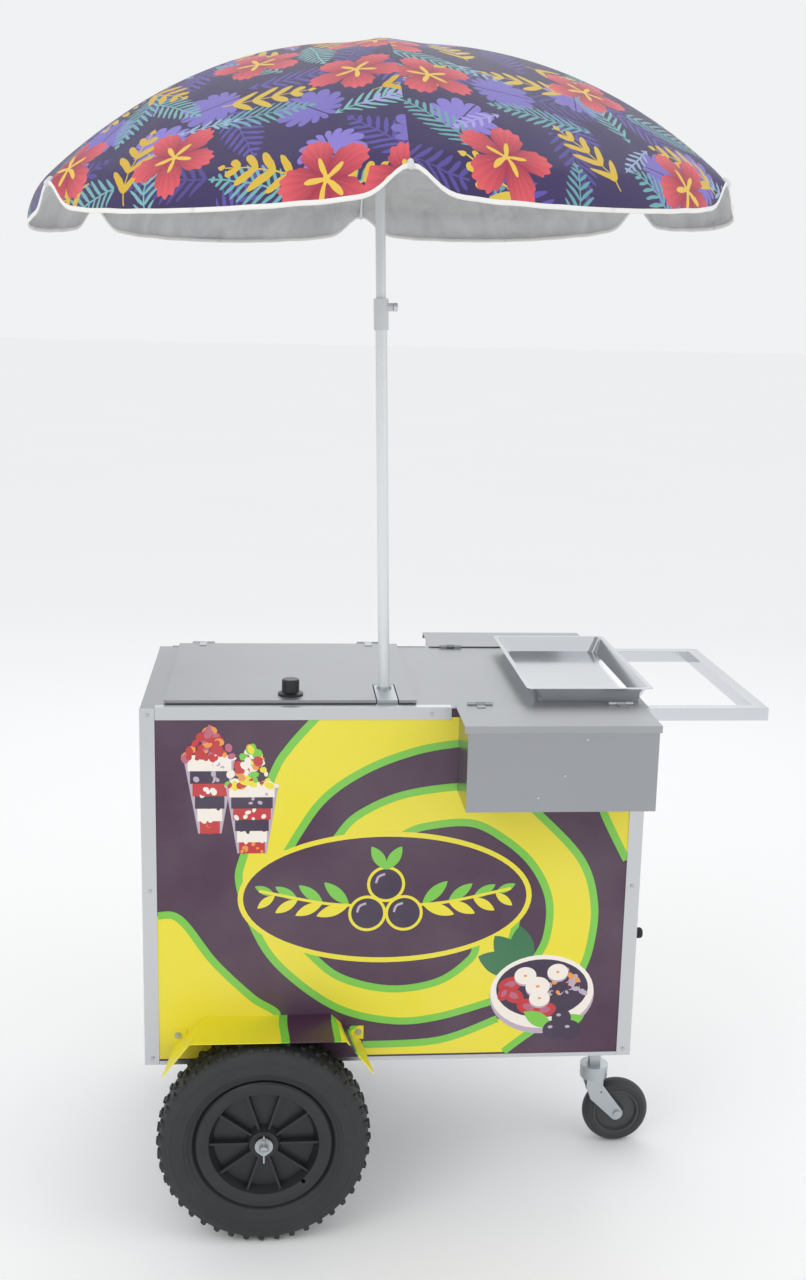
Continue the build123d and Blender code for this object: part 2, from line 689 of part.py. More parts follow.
# ---------------------------------------------------------------- caster
FORK_TOP = 136
RACE_TOP = 158
PIN_BORE = 5.06
with BuildPart() as caster_post:
    block(CASTER_X - 10, CASTER_X + 10, CASTER_Y - 10, CASTER_Y + 10, RACE_TOP, BASE - 4)
    block(CASTER_X - 60, CASTER_X + 13, CASTER_Y - 30, CASTER_Y + 30, BASE - 4, BASE)
    with BuildSketch(Plane.XZ.offset(-CASTER_Y + 3)):
        with BuildLine():
            Polyline(
                (CASTER_X - 9, RACE_TOP + 10),
                (CASTER_X - 9, BASE - 3),
                (CASTER_X - 54, BASE - 3),
                close=True,
            )
        make_face()
    extrude(amount=-6)
    with BuildSketch(Plane.XY.offset(FORK_TOP + 0.6)):
        with Locations((CASTER_X, CASTER_Y)):
            Circle(26)
    extrude(amount=RACE_TOP - FORK_TOP - 0.6)
    rod((CASTER_X, CASTER_Y, FORK_TOP - 2), 5, 10, "Z")
    rod((CASTER_X, CASTER_Y, FORK_TOP - 8), 8, 3, "Z")
finish(caster_post, "caster_post")

WHEEL2_X = CASTER_X + CASTER_TRAIL
FORK_GAP = CASTER_WIDTH / 2 + 2.5
FORK_SHEET = 2.5
with BuildPart() as caster_fork:
    with BuildSketch(Plane.XY.offset(FORK_TOP - 4)):
        with Locations((CASTER_X, CASTER_Y)):
            Circle(25)
            Circle(PIN_BORE, mode=Mode.SUBTRACT)
    extrude(amount=4)
    for y in (CASTER_Y - FORK_GAP, CASTER_Y + FORK_GAP + FORK_SHEET):
        with BuildSketch(Plane.XZ.offset(-y)):
            with BuildLine():
                Polyline(
                    (CASTER_X - 15, FORK_TOP),
                    (CASTER_X - 17, FORK_TOP - 16),
                    (CASTER_X - 8, FORK_TOP - 42),
                    (WHEEL2_X - 7, CASTER_RADIUS - 11.5),
                )
                ThreePointArc(
                    (WHEEL2_X - 7, CASTER_RADIUS - 11.5),
                    (WHEEL2_X + 8.9, CASTER_RADIUS - 6.5),
                    (WHEEL2_X + 8.4, CASTER_RADIUS + 8),
                )
                Polyline(
                    (WHEEL2_X + 8.4, CASTER_RADIUS + 8),
                    (CASTER_X + 15, FORK_TOP - 15),
                    (CASTER_X + 15, FORK_TOP),
                    (CASTER_X - 15, FORK_TOP),
                )
            make_face()
            with Locations((WHEEL2_X, CASTER_RADIUS)):
                Circle(4.02, mode=Mode.SUBTRACT)
            with Locations((CASTER_X + 12, FORK_TOP - 28)):
                Circle(1.6, mode=Mode.SUBTRACT)
        extrude(amount=FORK_SHEET)
finish(caster_fork, "caster_fork")

with BuildPart() as caster_axle:
    span = 2 * (FORK_GAP + FORK_SHEET)
    rod((WHEEL2_X, CASTER_Y, CASTER_RADIUS), 4, span, "Y")
    for out in (-1, 1):
        rod((WHEEL2_X, CASTER_Y + out * (span / 2 + 2.2), CASTER_RADIUS), 7, 4.4, "Y")
finish(caster_axle, "caster_axle")

CASTER_MIDDLE = Plane(origin=(WHEEL2_X, CASTER_Y, CASTER_RADIUS), x_dir=(0, 1, 0), z_dir=(1, 0, 0))
CASTER_AXIS = Axis((WHEEL2_X, 0, CASTER_RADIUS), (0, 1, 0))
with BuildPart() as caster_tread:
    with BuildSketch(CASTER_MIDDLE):
        with BuildLine():
            Polyline((-14, 44), (-16, 47), (-16, 54))
            ThreePointArc((-16, 54), (0, CASTER_RADIUS), (16, 54))
            Polyline((16, 54), (16, 47), (14, 44), (-14, 44))
        make_face()
    revolve(axis=CASTER_AXIS)
finish(caster_tread, "caster_tread")

with BuildPart() as caster_core:
    with BuildSketch(CASTER_MIDDLE):
        with BuildLine():
            Polyline(
                (-14, 43.9), (-14, 40), (-8, 37), (-8, 16), (-17, 13), (-17, 4.08),
                (17, 4.08), (17, 13), (8, 16), (8, 37), (14, 40), (14, 43.9), close=True,
            )
        make_face()
    revolve(axis=CASTER_AXIS)
finish(caster_core, "caster_core")

# ---------------------------------------------------------------- umbrella pole
CLAMP_TOP = CLAMP_HEIGHT + 28
POLE_TOP = CLAMP_HEIGHT + 4

with BuildPart() as lower_pole:
    along_pole(-SOCKET_DEPTH + 0.3, POLE_TOP, POLE_RADIUS)
    along_pole(-SOCKET_DEPTH + 5, POLE_TOP + 1, MAST_RADIUS + 0.08, mode=Mode.SUBTRACT)
finish(lower_pole, "lower_pole")

with BuildPart() as pole_clamp:
    along_pole(CLAMP_HEIGHT - 22, CLAMP_TOP, 12, MAST_RADIUS + 0.08)
    along_pole(CLAMP_HEIGHT - 23, POLE_TOP, POLE_RADIUS + 0.02, mode=Mode.SUBTRACT)
    with BuildSketch(Plane(origin=POLE_FRAME.from_local_coords((0, 0, CLAMP_HEIGHT + 14)),
                           x_dir=(0, 1, 0), z_dir=POLE_FRAME.x_dir).offset(10)):
        Circle(6.5)
        Circle(2.55, mode=Mode.SUBTRACT)
    extrude(amount=9)
    along_pole(CLAMP_HEIGHT - 30, CLAMP_TOP + 5, MAST_RADIUS + 0.08, mode=Mode.SUBTRACT)
    with BuildSketch(Plane(origin=POLE_FRAME.from_local_coords((0, 0, CLAMP_HEIGHT + 14)),
                           x_dir=(0, 1, 0), z_dir=POLE_FRAME.x_dir)):
        Circle(2.55)
    extrude(amount=30, mode=Mode.SUBTRACT)
finish(pole_clamp, "pole_clamp")

SCREW_PLANE = Plane(
    origin=POLE_FRAME.from_local_coords((MAST_RADIUS + 0.3, 0, CLAMP_HEIGHT + 14)),
    x_dir=(0, 1, 0),
    z_dir=POLE_FRAME.x_dir,
)
with BuildPart() as clamp_screw:
    with BuildSketch(SCREW_PLANE):
        Circle(2.5)
    extrude(amount=12)
    with BuildSketch(SCREW_PLANE.offset(11.4)):
        SlotOverall(26, 8)
        Circle(7)
    extrude(amount=7)
    fillet(clamp_screw.faces().sort_by(Axis.X)[-1].edges(), 1.2)
finish(clamp_screw, "clamp_screw")

MAST_BOTTOM = CLAMP_HEIGHT - 190
with BuildPart() as mast:
    along_pole(MAST_BOTTOM, APEX_HEIGHT - 3, MAST_RADIUS, MAST_RADIUS - 1.3)
finish(mast, "mast")

# ---------------------------------------------------------------- ribs, struts, canopy
DOME_CENTRE = APEX_HEIGHT - DOME_RADIUS


def dome_height(radius, inset):
    """Height on the dome at a distance from the pole, a little below the cloth."""
    return DOME_CENTRE + sqrt((DOME_RADIUS - inset) ** 2 - radius**2)


def spoke_plane(angle, sideways=0.0):
    """The upright plane through the pole at an angle: X outwards, Y up the pole."""
    out = POLE_FRAME.x_dir * cos(radians(angle)) + POLE_FRAME.y_dir * sin(radians(angle))
    normal = out.cross(POLE_FRAME.z_dir)
    return Plane(origin=POLE_FRAME.origin + normal * sideways, x_dir=out, z_dir=normal)


def eye(plane, radius, height, size, thick):
    """A flat round eye, square to a spoke plane."""
    with BuildSketch(plane.offset(-thick / 2)) as section:
        with Locations((radius, height)):
            Circle(size)
    extrude(section.sketch, amount=thick)


# The notched crown and the wire ring that all the ribs hang on, with the finial above.
with BuildPart() as crown:
    along_pole(CROWN_HEIGHT - 10, CROWN_HEIGHT + 5, 17, MAST_RADIUS + 0.05)
    for index in range(RIB_COUNT):
        with BuildSketch(spoke_plane(RIB_FIRST_ANGLE + index * 60).offset(-2.4)):
            with Locations((PIVOT_RADIUS + 3.2, CROWN_HEIGHT - 2)):
                Rectangle(13.5, 30)
        extrude(amount=4.8, mode=Mode.SUBTRACT)
    with BuildSketch(spoke_plane(0)):
        with Locations((PIVOT_RADIUS, CROWN_HEIGHT)):
            Circle(1.0)
    revolve(axis=POLE_AXIS)
    along_pole(APEX_HEIGHT - 14, APEX_HEIGHT, MAST_RADIUS - 1.35)
    along_pole(APEX_HEIGHT - 3, APEX_HEIGHT + 2, 10)
    along_pole(APEX_HEIGHT + 0.6, APEX_HEIGHT + 3, 16)
    along_pole(APEX_HEIGHT + 2, APEX_HEIGHT + 11, 11)
    fillet(crown.edges().filter_by(GeomType.CIRCLE).sort_by(POLE_AXIS)[-1], 6)
finish(crown, "crown")

STRUT_TOP = (STRUT_ON_RIB, dome_height(STRUT_ON_RIB, 4.6) - 3)
STRUT_MIDDLE = ((PIVOT_RADIUS + STRUT_TOP[0]) / 2, (RUNNER_HEIGHT + STRUT_TOP[1]) / 2)
STRUT_LENGTH = hypot(STRUT_TOP[0] - PIVOT_RADIUS, STRUT_TOP[1] - RUNNER_HEIGHT)
STRUT_ANGLE = degrees(atan2(STRUT_TOP[1] - RUNNER_HEIGHT, STRUT_TOP[0] - PIVOT_RADIUS))
with BuildPart() as runner:
    along_pole(RUNNER_HEIGHT - 26, RUNNER_HEIGHT + 5, 11, MAST_RADIUS + 0.08)
    along_pole(RUNNER_HEIGHT - 6, RUNNER_HEIGHT + 5, 17.5, MAST_RADIUS + 0.08)
    for index in range(RIB_COUNT):
        slot_plane = spoke_plane(RIB_FIRST_ANGLE + index * 60, STRUT_OFFSET)
        with BuildSketch(slot_plane.offset(-1.9)):
            with Locations((PIVOT_RADIUS + 4.2, RUNNER_HEIGHT + 1)):
                Rectangle(14.5, 18)
        extrude(amount=3.8, mode=Mode.SUBTRACT)
        with BuildSketch(slot_plane.offset(-3)):
            with Locations((PIVOT_RADIUS, RUNNER_HEIGHT)):
                Circle(1.0)
        extrude(amount=6)
finish(runner, "runner")

for index in range(RIB_COUNT):
    angle = RIB_FIRST_ANGLE + index * 60
    plane = spoke_plane(angle)
    middle = (PIVOT_RADIUS + RIB_TIP) / 2
    with BuildPart() as rib:
        with BuildLine(plane):
            route = ThreePointArc(
                (PIVOT_RADIUS + 2.2, CROWN_HEIGHT - 0.4),
                (middle, dome_height(middle, 4.6)),
                (RIB_TIP, dome_height(RIB_TIP, 4.6)),
            )
        with BuildSketch(Plane(origin=route @ 0, z_dir=route % 0)):
            Circle(RIB_WIRE)
        sweep()
        eye(plane, PIVOT_RADIUS, CROWN_HEIGHT, 3.2, 3)
        eye(plane, STRUT_TOP[0], STRUT_TOP[1], 4, 4.6)
        with BuildSketch(plane.offset(-4)):
            with Locations((PIVOT_RADIUS, CROWN_HEIGHT)):
                Circle(1.25)
        extrude(amount=8, mode=Mode.SUBTRACT)
    finish(rib, f"rib_{index + 1}")

    side_plane = spoke_plane(angle, STRUT_OFFSET)
    with BuildPart() as strut:
        with BuildSketch(side_plane.offset(-1.3)):
            with Locations(STRUT_MIDDLE):
                SlotCenterToCenter(STRUT_LENGTH, 4.8, rotation=STRUT_ANGLE)
        extrude(amount=2.6)
        with BuildSketch(side_plane.offset(-2.2)):
            with Locations((PIVOT_RADIUS, RUNNER_HEIGHT)):
                Circle(1.1)
        extrude(amount=5, mode=Mode.SUBTRACT)
    finish(strut, f"strut_{index + 1}")

with BuildPart() as canopy:
    with BuildSketch(spoke_plane(0)):
        with BuildLine():
            outer_edge = (HEM_RADIUS, dome_height(HEM_RADIUS, 0))
            inner_edge = (HEM_RADIUS - 2, dome_height(HEM_RADIUS - 2, CANOPY_CLOTH))
            mid = HEM_RADIUS / 2
            hole = 10.4
            ThreePointArc(
                (hole, dome_height(hole, 0)), (mid, dome_height(mid, 0)), outer_edge
            )
            Polyline(
                outer_edge,
                (HEM_RADIUS + 1, outer_edge[1] - SKIRT_DROP),
                (HEM_RADIUS - 1, outer_edge[1] - SKIRT_DROP),
                inner_edge,
            )
            ThreePointArc(
                inner_edge,
                (mid, dome_height(mid, CANOPY_CLOTH)),
                (hole, dome_height(hole, CANOPY_CLOTH)),
            )
            Line((hole, dome_height(hole, CANOPY_CLOTH)), (hole, dome_height(hole, 0)))
        make_face()
    revolve(axis=POLE_AXIS)
finish(canopy, "canopy")
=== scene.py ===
# %% [markdown]
# # A push vending cart
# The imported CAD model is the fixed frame: sheet body, wheels, caster, tray, handle and a folding umbrella.
# This lesson gives every surface a finish and builds the parts that CAD shapes only stand in for:
# tyres with real tread, the printed panel, the umbrella cloth with its white edge tape.

# %% Load the frame
import math
import random

import bmesh
import bpy
from mathutils import Matrix, Vector
from mathutils.geometry import tessellate_polygon


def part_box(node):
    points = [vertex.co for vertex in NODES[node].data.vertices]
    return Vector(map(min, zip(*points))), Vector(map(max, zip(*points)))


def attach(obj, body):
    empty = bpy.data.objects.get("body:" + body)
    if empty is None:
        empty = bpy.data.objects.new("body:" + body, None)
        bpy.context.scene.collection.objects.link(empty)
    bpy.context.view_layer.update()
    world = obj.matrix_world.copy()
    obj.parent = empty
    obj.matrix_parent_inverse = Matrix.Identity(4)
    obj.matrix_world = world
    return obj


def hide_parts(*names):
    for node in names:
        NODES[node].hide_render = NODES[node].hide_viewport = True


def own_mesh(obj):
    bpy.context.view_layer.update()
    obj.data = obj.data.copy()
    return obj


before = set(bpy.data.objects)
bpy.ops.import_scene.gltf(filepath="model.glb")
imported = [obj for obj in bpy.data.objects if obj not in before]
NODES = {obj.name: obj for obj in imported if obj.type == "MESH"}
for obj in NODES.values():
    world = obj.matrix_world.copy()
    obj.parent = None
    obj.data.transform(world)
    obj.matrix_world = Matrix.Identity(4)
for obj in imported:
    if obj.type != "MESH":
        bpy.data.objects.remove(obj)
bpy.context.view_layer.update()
MM = 0.001

# %% [markdown]
# ## Places
# All places come from the frame. The body panel gives left, front and top; the wheel nodes give the axle.
# Umbrella points are measured along the pole, which leans a little to the left in its loose socket.

# %% Places
PANEL_LOW, PANEL_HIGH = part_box("front_panel")
LEFT, RIGHT = PANEL_LOW.x, PANEL_HIGH.x
FRONT = PANEL_LOW.y
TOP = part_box("worktop")[1].z
LEAN = math.radians(1.5)
POLE_UP = Vector((-math.sin(LEAN), 0, math.cos(LEAN)))
POLE_OUT = Vector((math.cos(LEAN), 0, math.sin(LEAN)))
POLE_SIDE = Vector((0, 1, 0))
POLE_FOOT = Vector((LEFT + 0.402, 0, TOP))
print("body", round(RIGHT - LEFT, 3), "wide, worktop at", round(TOP, 3))

# %% [markdown]
# ## Camera
# A normal lens at eye height, looking down by about twelve degrees and slightly to the right.
# The long side of the picture is upright, so the lens is set against the picture's height.

# %% Camera
CAMERA_PLACE = Vector((-0.219, -2.464, 1.547))
YAW, PITCH, ROLL = 0.088, 0.218, 0.022
FOCAL_SHARE = 1500 / 1280
SENSOR = 36.0
forward = Vector((math.sin(YAW) * math.cos(PITCH), math.cos(YAW) * math.cos(PITCH), -math.sin(PITCH)))
level_right = Vector((math.cos(YAW), -math.sin(YAW), 0))
level_up = level_right.cross(forward)
right = level_right * math.cos(ROLL) + level_up * math.sin(ROLL)
up = level_up * math.cos(ROLL) - level_right * math.sin(ROLL)
lens = bpy.data.cameras.new("camera")
lens.lens = SENSOR * FOCAL_SHARE
lens.sensor_width = SENSOR
lens.sensor_fit = "AUTO"
lens.clip_end = 100
camera = bpy.data.objects.new("camera", lens)
turn = Matrix((right, up, -forward)).transposed().to_4x4()
camera.matrix_world = Matrix.Translation(CAMERA_PLACE) @ turn
bpy.context.collection.objects.link(camera)
bpy.context.scene.camera = camera
print("lens", round(lens.lens, 1), "mm")

# %% [markdown]
# ## Helpers for finishes
# A finish is a Principled shader with a few nodes in front of it. `linear` turns an sRGB hex colour into the
# linear one that the renderer needs, and `add` puts one node in a tree with its settings and links.

# %% Helpers for finishes
def linear(code):
    """sRGB hex to linear RGBA."""
    shares = [int(code[i : i + 2], 16) / 255 for i in (1, 3, 5)]
    low = [c / 12.92 if c <= 0.04045 else ((c + 0.055) / 1.055) ** 2.4 for c in shares]
    return (*low, 1.0)


def add(tree, kind, inputs=(), **settings):
    """Add one node. Inputs are values, sockets or nodes (their first output), by name or in order."""
    node = tree.nodes.new(kind)
    for key, value in settings.items():
        setattr(node, key, value)
    for key, value in inputs.items() if isinstance(inputs, dict) else enumerate(inputs):
        if isinstance(value, bpy.types.Node):
            value = value.outputs[0]
        if isinstance(value, bpy.types.NodeSocket):
            tree.links.new(value, node.inputs[key])
        elif value is not None:
            node.inputs[key].default_value = value
    return node


def finish(name, **sockets):
    """A new material; constants sit on the shader's own sockets."""
    material = bpy.data.materials.new(name)
    material.use_nodes = True
    shader = material.node_tree.nodes["Principled BSDF"]
    for key, value in sockets.items():
        shader.inputs[key.replace("_", " ")].default_value = value
    return material, material.node_tree, shader


def feed(tree, shader, **sockets):
    """Link a node's first output to each named socket of the shader."""
    for key, node in sockets.items():
        tree.links.new(node.outputs[0], shader.inputs[key.replace("_", " ")])


MATH, VECTOR = "ShaderNodeMath", "ShaderNodeVectorMath"
NOISE, RAMP = "ShaderNodeTexNoise", "ShaderNodeMapRange"
MIX, COORDS = "ShaderNodeMixRGB", "ShaderNodeTexCoord"
MAPPING, BUMP = "ShaderNodeMapping", "ShaderNodeBump"
print("helpers ready")

# %% [markdown]
# ## Metal finishes
# The body, worktop and side boxes are satin stainless sheet: the grain runs along X, so the noise is
# stretched along X. Grain is under a tenth of a millimetre wide on the real sheet; it is drawn about 1 mm
# wide so that it shows. The trims are brighter drawn aluminium, fittings zinc plated, the tray polished.

# %% Metal finishes
def metal(name, colour, roughness, stretch, grain, cloud=0.05, metallic=1.0, relief=0.05):
    """Rolled or plated metal: stretched grain for roughness and relief, slow clouds for colour."""
    material, tree, shader = finish(name, Metallic=metallic)
    place = add(tree, COORDS).outputs["Object"]
    lined = add(tree, MAPPING, {"Vector": place, "Scale": stretch})
    lines = add(tree, NOISE, {"Vector": lined, "Scale": grain, "Detail": 3.0})
    clouds = add(tree, NOISE, {"Vector": place, "Scale": 5.0, "Detail": 4.0})
    spread = add(tree, RAMP, {"Value": lines, "To Min": roughness - 0.06, "To Max": roughness + 0.08})
    base = Vector(linear(colour)[:3])
    dark, light = [(*(base * (1 + way * cloud)), 1) for way in (-1, 1)]
    tint = add(tree, MIX, {"Fac": clouds.outputs["Fac"], "Color1": dark, "Color2": light})
    bumps = add(tree, BUMP, {"Height": lines, "Strength": relief, "Distance": 0.0004})
    feed(tree, shader, Base_Color=tint, Roughness=spread, Normal=bumps)
    return material


ALONG_X = (0.04, 1.0, 1.0)
ALONG_Z = (1.0, 1.0, 0.04)
EVEN = (1.0, 1.0, 1.0)
satin_steel = metal("satin_stainless_sheet", "#a7a9ac", 0.42, ALONG_X, 900, metallic=0.85)
bright_steel = metal("bright_rolled_stainless_sheet", "#9fa1a5", 0.24, ALONG_X, 900, metallic=0.9)
satin_upright = metal("satin_stainless_sheet_upright", "#a9abae", 0.40, ALONG_Z, 900, metallic=0.85)
bright_trim = metal("drawn_aluminium_trim", "#c9cbce", 0.30, ALONG_Z, 1200)
zinc_plate = metal("zinc_plated_steel", "#b9bec2", 0.38, EVEN, 260, cloud=0.10, metallic=0.9)
polished = metal("polished_stainless_steel", "#d5d8dc", 0.12, ALONG_X, 900, cloud=0.02, relief=0.01)
hidden_steel = metal("galvanised_sheet", "#9fa4a8", 0.48, EVEN, 120, cloud=0.18, metallic=0.8)
pole_enamel = metal("silver_white_enamel", "#dfe3e5", 0.34, EVEN, 300, cloud=0.02, metallic=0.15, relief=0.02)
print("metals", len(bpy.data.materials))

# %% [markdown]
# ## Rubber, nylon and foam
# Moulded black parts are never pure black: tyre rubber is dull and slightly dusty, moulded nylon has a soft
# sheen with a fine spark-eroded texture, and foam shows its skin of small cells.

# %% Rubber, nylon and foam
def moulded(name, colour, dust, roughness, texture, relief):
    """Moulded black part: fine texture, with dust in slow patches."""
    material, tree, shader = finish(name, Roughness=roughness)
    place = add(tree, COORDS).outputs["Object"]
    fine = add(tree, NOISE, {"Vector": place, "Scale": texture, "Detail": 3.0})
    slow = add(tree, NOISE, {"Vector": place, "Scale": 14.0, "Detail": 5.0, "Roughness": 0.6})
    tint = add(tree, MIX, {"Fac": slow.outputs["Fac"], "Color1": linear(colour), "Color2": linear(dust)})
    bumps = add(tree, BUMP, {"Height": fine, "Strength": relief, "Distance": 0.0005})
    feed(tree, shader, Base_Color=tint, Normal=bumps)
    return material


tyre_rubber = moulded("vulcanised_tyre_rubber", "#202123", "#343537", 0.66, 700, 0.5)
rim_nylon = moulded("moulded_black_nylon", "#1b1c1e", "#2b2c2f", 0.42, 900, 0.2)
knob_plastic = moulded("moulded_black_phenolic", "#141416", "#222326", 0.32, 900, 0.15)
caster_rubber = moulded("grey_black_caster_rubber", "#26272a", "#3a3b3e", 0.55, 700, 0.3)
caster_plastic = moulded("moulded_dark_polypropylene", "#35373a", "#47494c", 0.48, 900, 0.2)
soft_rubber = moulded("black_epdm_rubber", "#101113", "#1d1e20", 0.6, 500, 0.3)
foam_skin = moulded("pale_rigid_foam", "#d9cfa4", "#e6deb8", 0.8, 260, 0.6)
collar_plastic = moulded("clear_grey_polycarbonate", "#c9cdcf", "#dde0e2", 0.35, 600, 0.1)
print("moulded finishes ready")

# %% [markdown]
# ## Dress the CAD nodes
# Most CAD nodes already have the right shape, so they stay and only take a better material.

# %% Dress the CAD nodes
def dress(name, material):
    """Give a CAD node one finish."""
    NODES[name].data.materials.clear()
    NODES[name].data.materials.append(material)


RIBS_AND_STRUTS = " ".join(f"rib_{k} strut_{k}" for k in range(1, 7))
DRESS = {
    satin_steel: "worktop lid front_box_lid back_box_lid",
    bright_steel: "front_box back_box",
    satin_upright: "back_panel side_panels",
    bright_trim: "corner_trims edge_trims",
    polished: "tray push_handle inner_tub",
    zinc_plate: "panel_screws lid_hinges lid_hinge_leaves box_hinges axle axle_washers split_pins caster_fork"
    " caster_axle caster_post drain_pipe umbrella_socket",
    hidden_steel: "floor_pan tube_frame axle_brackets",
    foam_skin: "insulation",
    soft_rubber: "lid_gasket drain_cap",
    knob_plastic: "lid_knob",
    rim_nylon: "front_rim back_rim",
    caster_rubber: "caster_tread",
    caster_plastic: "caster_core",
    pole_enamel: f"lower_pole mast runner crown clamp_screw {RIBS_AND_STRUTS}",
    collar_plastic: "pole_clamp",
}
for material, names in DRESS.items():
    for name in names.split():
        dress(name, material)
print("dressed", sum(len(names.split()) for names in DRESS.values()), "nodes")

# %% [markdown]
# ## Helpers for meshes
# `new_piece` makes an object at the origin from points and faces, with its normals pointing outwards.
# `lathe` turns a closed outline about an axle along Y, which is how tyres are made here.

# %% Helpers for meshes
def new_piece(name, points, faces, materials, face_materials=None, smooth=True):
    """An object at the origin, with its place in its mesh."""
    mesh = bpy.data.meshes.new(name)
    mesh.from_pydata([tuple(p) for p in points], [], faces)
    for material in materials:
        mesh.materials.append(material)
    if face_materials:
        mesh.polygons.foreach_set("material_index", face_materials)
    mesh.polygons.foreach_set("use_smooth", [smooth] * len(mesh.polygons))
    mesh.update()
    piece = bpy.data.objects.new(name, mesh)
    bpy.context.collection.objects.link(piece)
    return piece


def outward(piece, merge=True):
    """Merge doubles, if there can be any, and point every face outwards."""
    work = bmesh.new()
    work.from_mesh(piece.data)
    if merge:
        bmesh.ops.remove_doubles(work, verts=work.verts, dist=1e-6)
    bmesh.ops.recalc_face_normals(work, faces=work.faces)
    work.to_mesh(piece.data)
    work.free()
    return piece


def applied(piece):
    """Turn the piece's modifiers into plain mesh."""
    bpy.context.view_layer.update()
    whole = piece.evaluated_get(bpy.context.evaluated_depsgraph_get())
    mesh = bpy.data.meshes.new_from_object(whole)
    piece.modifiers.clear()
    old, piece.data = piece.data, mesh
    bpy.data.meshes.remove(old)
    piece.data.name = piece.name
    return piece


def ring_faces(rings, steps):
    """Faces of a closed tube: quads between rings of points, and a flat face on each end."""
    faces = []
    for ring_number in range(rings - 1):
        for step in range(steps):
            here, after = ring_number * steps + step, ring_number * steps + (step + 1) % steps
            faces.append((here, after, after + steps, here + steps))
    return faces + [tuple(range(steps)), tuple(range((rings - 1) * steps, rings * steps))]


def lathe(name, outline, centre, steps, material):
    """Turn a closed outline of (reach along Y, radius) points about an axle along Y."""
    points, faces, size = [], [], len(outline)
    for turn_step in range(steps):
        angle = 2 * math.pi * turn_step / steps
        for reach, radius in outline:
            points.append(centre + Vector((radius * math.cos(angle), reach, radius * math.sin(angle))))
    for turn_step in range(steps):
        here, there = turn_step * size, (turn_step + 1) % steps * size
        for k in range(size):
            after = (k + 1) % size
            faces.append((here + k, here + after, there + after, there + k))
    return outward(new_piece(name, points, faces, [material]))


print("mesh helpers ready")

# %% [markdown]
# ## Tyres
# A pneumatic wheelbarrow tyre: round casing, thin raised rings moulded in the sidewall, and block tread in
# four rows that wraps over the shoulder. The casing is turned from its outline. The blocks repeat, so
# Geometry Nodes set one small block round a circle and turn each to face outwards.

# %% Tyre casing
WHEELS = {"front": "front_wheel", "back": "back_wheel"}
CASING = [
    (25.0, 103.0), (25.4, 115.8), (28.5, 118.3), (31.5, 119.4), (33.0, 121.5), (33.8, 124.5), (36.5, 126.0),
    (38.6, 129.5), (39.7, 133.0), (40.9, 133.6), (41.3, 135.0), (40.8, 136.6), (41.4, 141.0), (41.6, 146.0),
    (41.2, 151.0), (40.5, 154.5), (41.0, 155.4), (40.6, 157.0), (39.2, 158.4), (37.6, 162.5), (34.5, 168.0),
    (29.0, 172.0), (21.0, 174.4), (10.0, 175.6), (0.0, 176.0),
]


def casing_outline():
    """Mirror the half outline and close it with an inner wall."""
    half = [(reach * MM, radius * MM) for reach, radius in CASING]
    other = [(-reach, radius) for reach, radius in reversed(half[:-1])]
    inner = [(-18, 103), (-29, 142), (0, 160), (29, 142), (18, 103)]
    return half + other + [(reach * MM, radius * MM) for reach, radius in inner]


wheel_centres = {}
for side in WHEELS:
    low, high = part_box(f"{side}_tyre")
    wheel_centres[side] = (low + high) / 2
    print(side, "wheel centre", [round(c, 3) for c in wheel_centres[side]])

# %% Tread blocks by Geometry Nodes
def socket(tree, name, kind, value):
    """A named input on a Geometry Nodes tree."""
    made = tree.interface.new_socket(name, in_out="INPUT", socket_type=kind)
    if value is not None:
        made.default_value = value
    return made


def ring_tree(name, material):
    """Instances of one object round a circle about Y, each turned outwards."""
    tree = bpy.data.node_groups.new(name, "GeometryNodeTree")
    tree.interface.new_socket("Geometry", in_out="OUTPUT", socket_type="NodeSocketGeometry")
    inputs = {
        "Block": socket(tree, "Block", "NodeSocketObject", None),
        "Radius": socket(tree, "Radius", "NodeSocketFloat", 0.17),
        "Count": socket(tree, "Count", "NodeSocketInt", 30),
        "Start": socket(tree, "Start", "NodeSocketFloat", 0.0),
        "Centre": socket(tree, "Centre", "NodeSocketVector", (0.0, 0.0, 0.0)),
    }
    given = add(tree, "NodeGroupInput").outputs
    points = add(tree, "GeometryNodeMeshLine", {"Count": given["Count"], "Offset": (0, 0, 0)})
    share = add(tree, MATH, [add(tree, "GeometryNodeInputIndex"), given["Count"]], operation="DIVIDE")
    around = add(tree, MATH, [share, 2 * math.pi, given["Start"]], operation="MULTIPLY_ADD")
    across, height = [
        add(tree, MATH, [add(tree, MATH, [around], operation=way), given["Radius"]], operation="MULTIPLY")
        for way in ("COSINE", "SINE")
    ]
    spot = add(tree, VECTOR, [add(tree, "ShaderNodeCombineXYZ", [across, 0.0, height]), given["Centre"]])
    placed = add(tree, "GeometryNodeSetPosition", {"Geometry": points, "Position": spot})
    back_turn = add(tree, MATH, [around, -1.0], operation="MULTIPLY")
    spin = add(tree, "ShaderNodeCombineXYZ", [0.0, back_turn, 0.0])
    block = add(tree, "GeometryNodeObjectInfo", {"Object": given["Block"]})
    copies = add(
        tree,
        "GeometryNodeInstanceOnPoints",
        {"Points": placed, "Instance": block.outputs["Geometry"], "Rotation": spin},
    )
    real = add(tree, "GeometryNodeRealizeInstances", [copies])
    painted = add(tree, "GeometryNodeSetMaterial", {"Geometry": real, "Material": material})
    add(tree, "NodeGroupOutput", [painted])
    return tree, {key: made.identifier for key, made in inputs.items()}


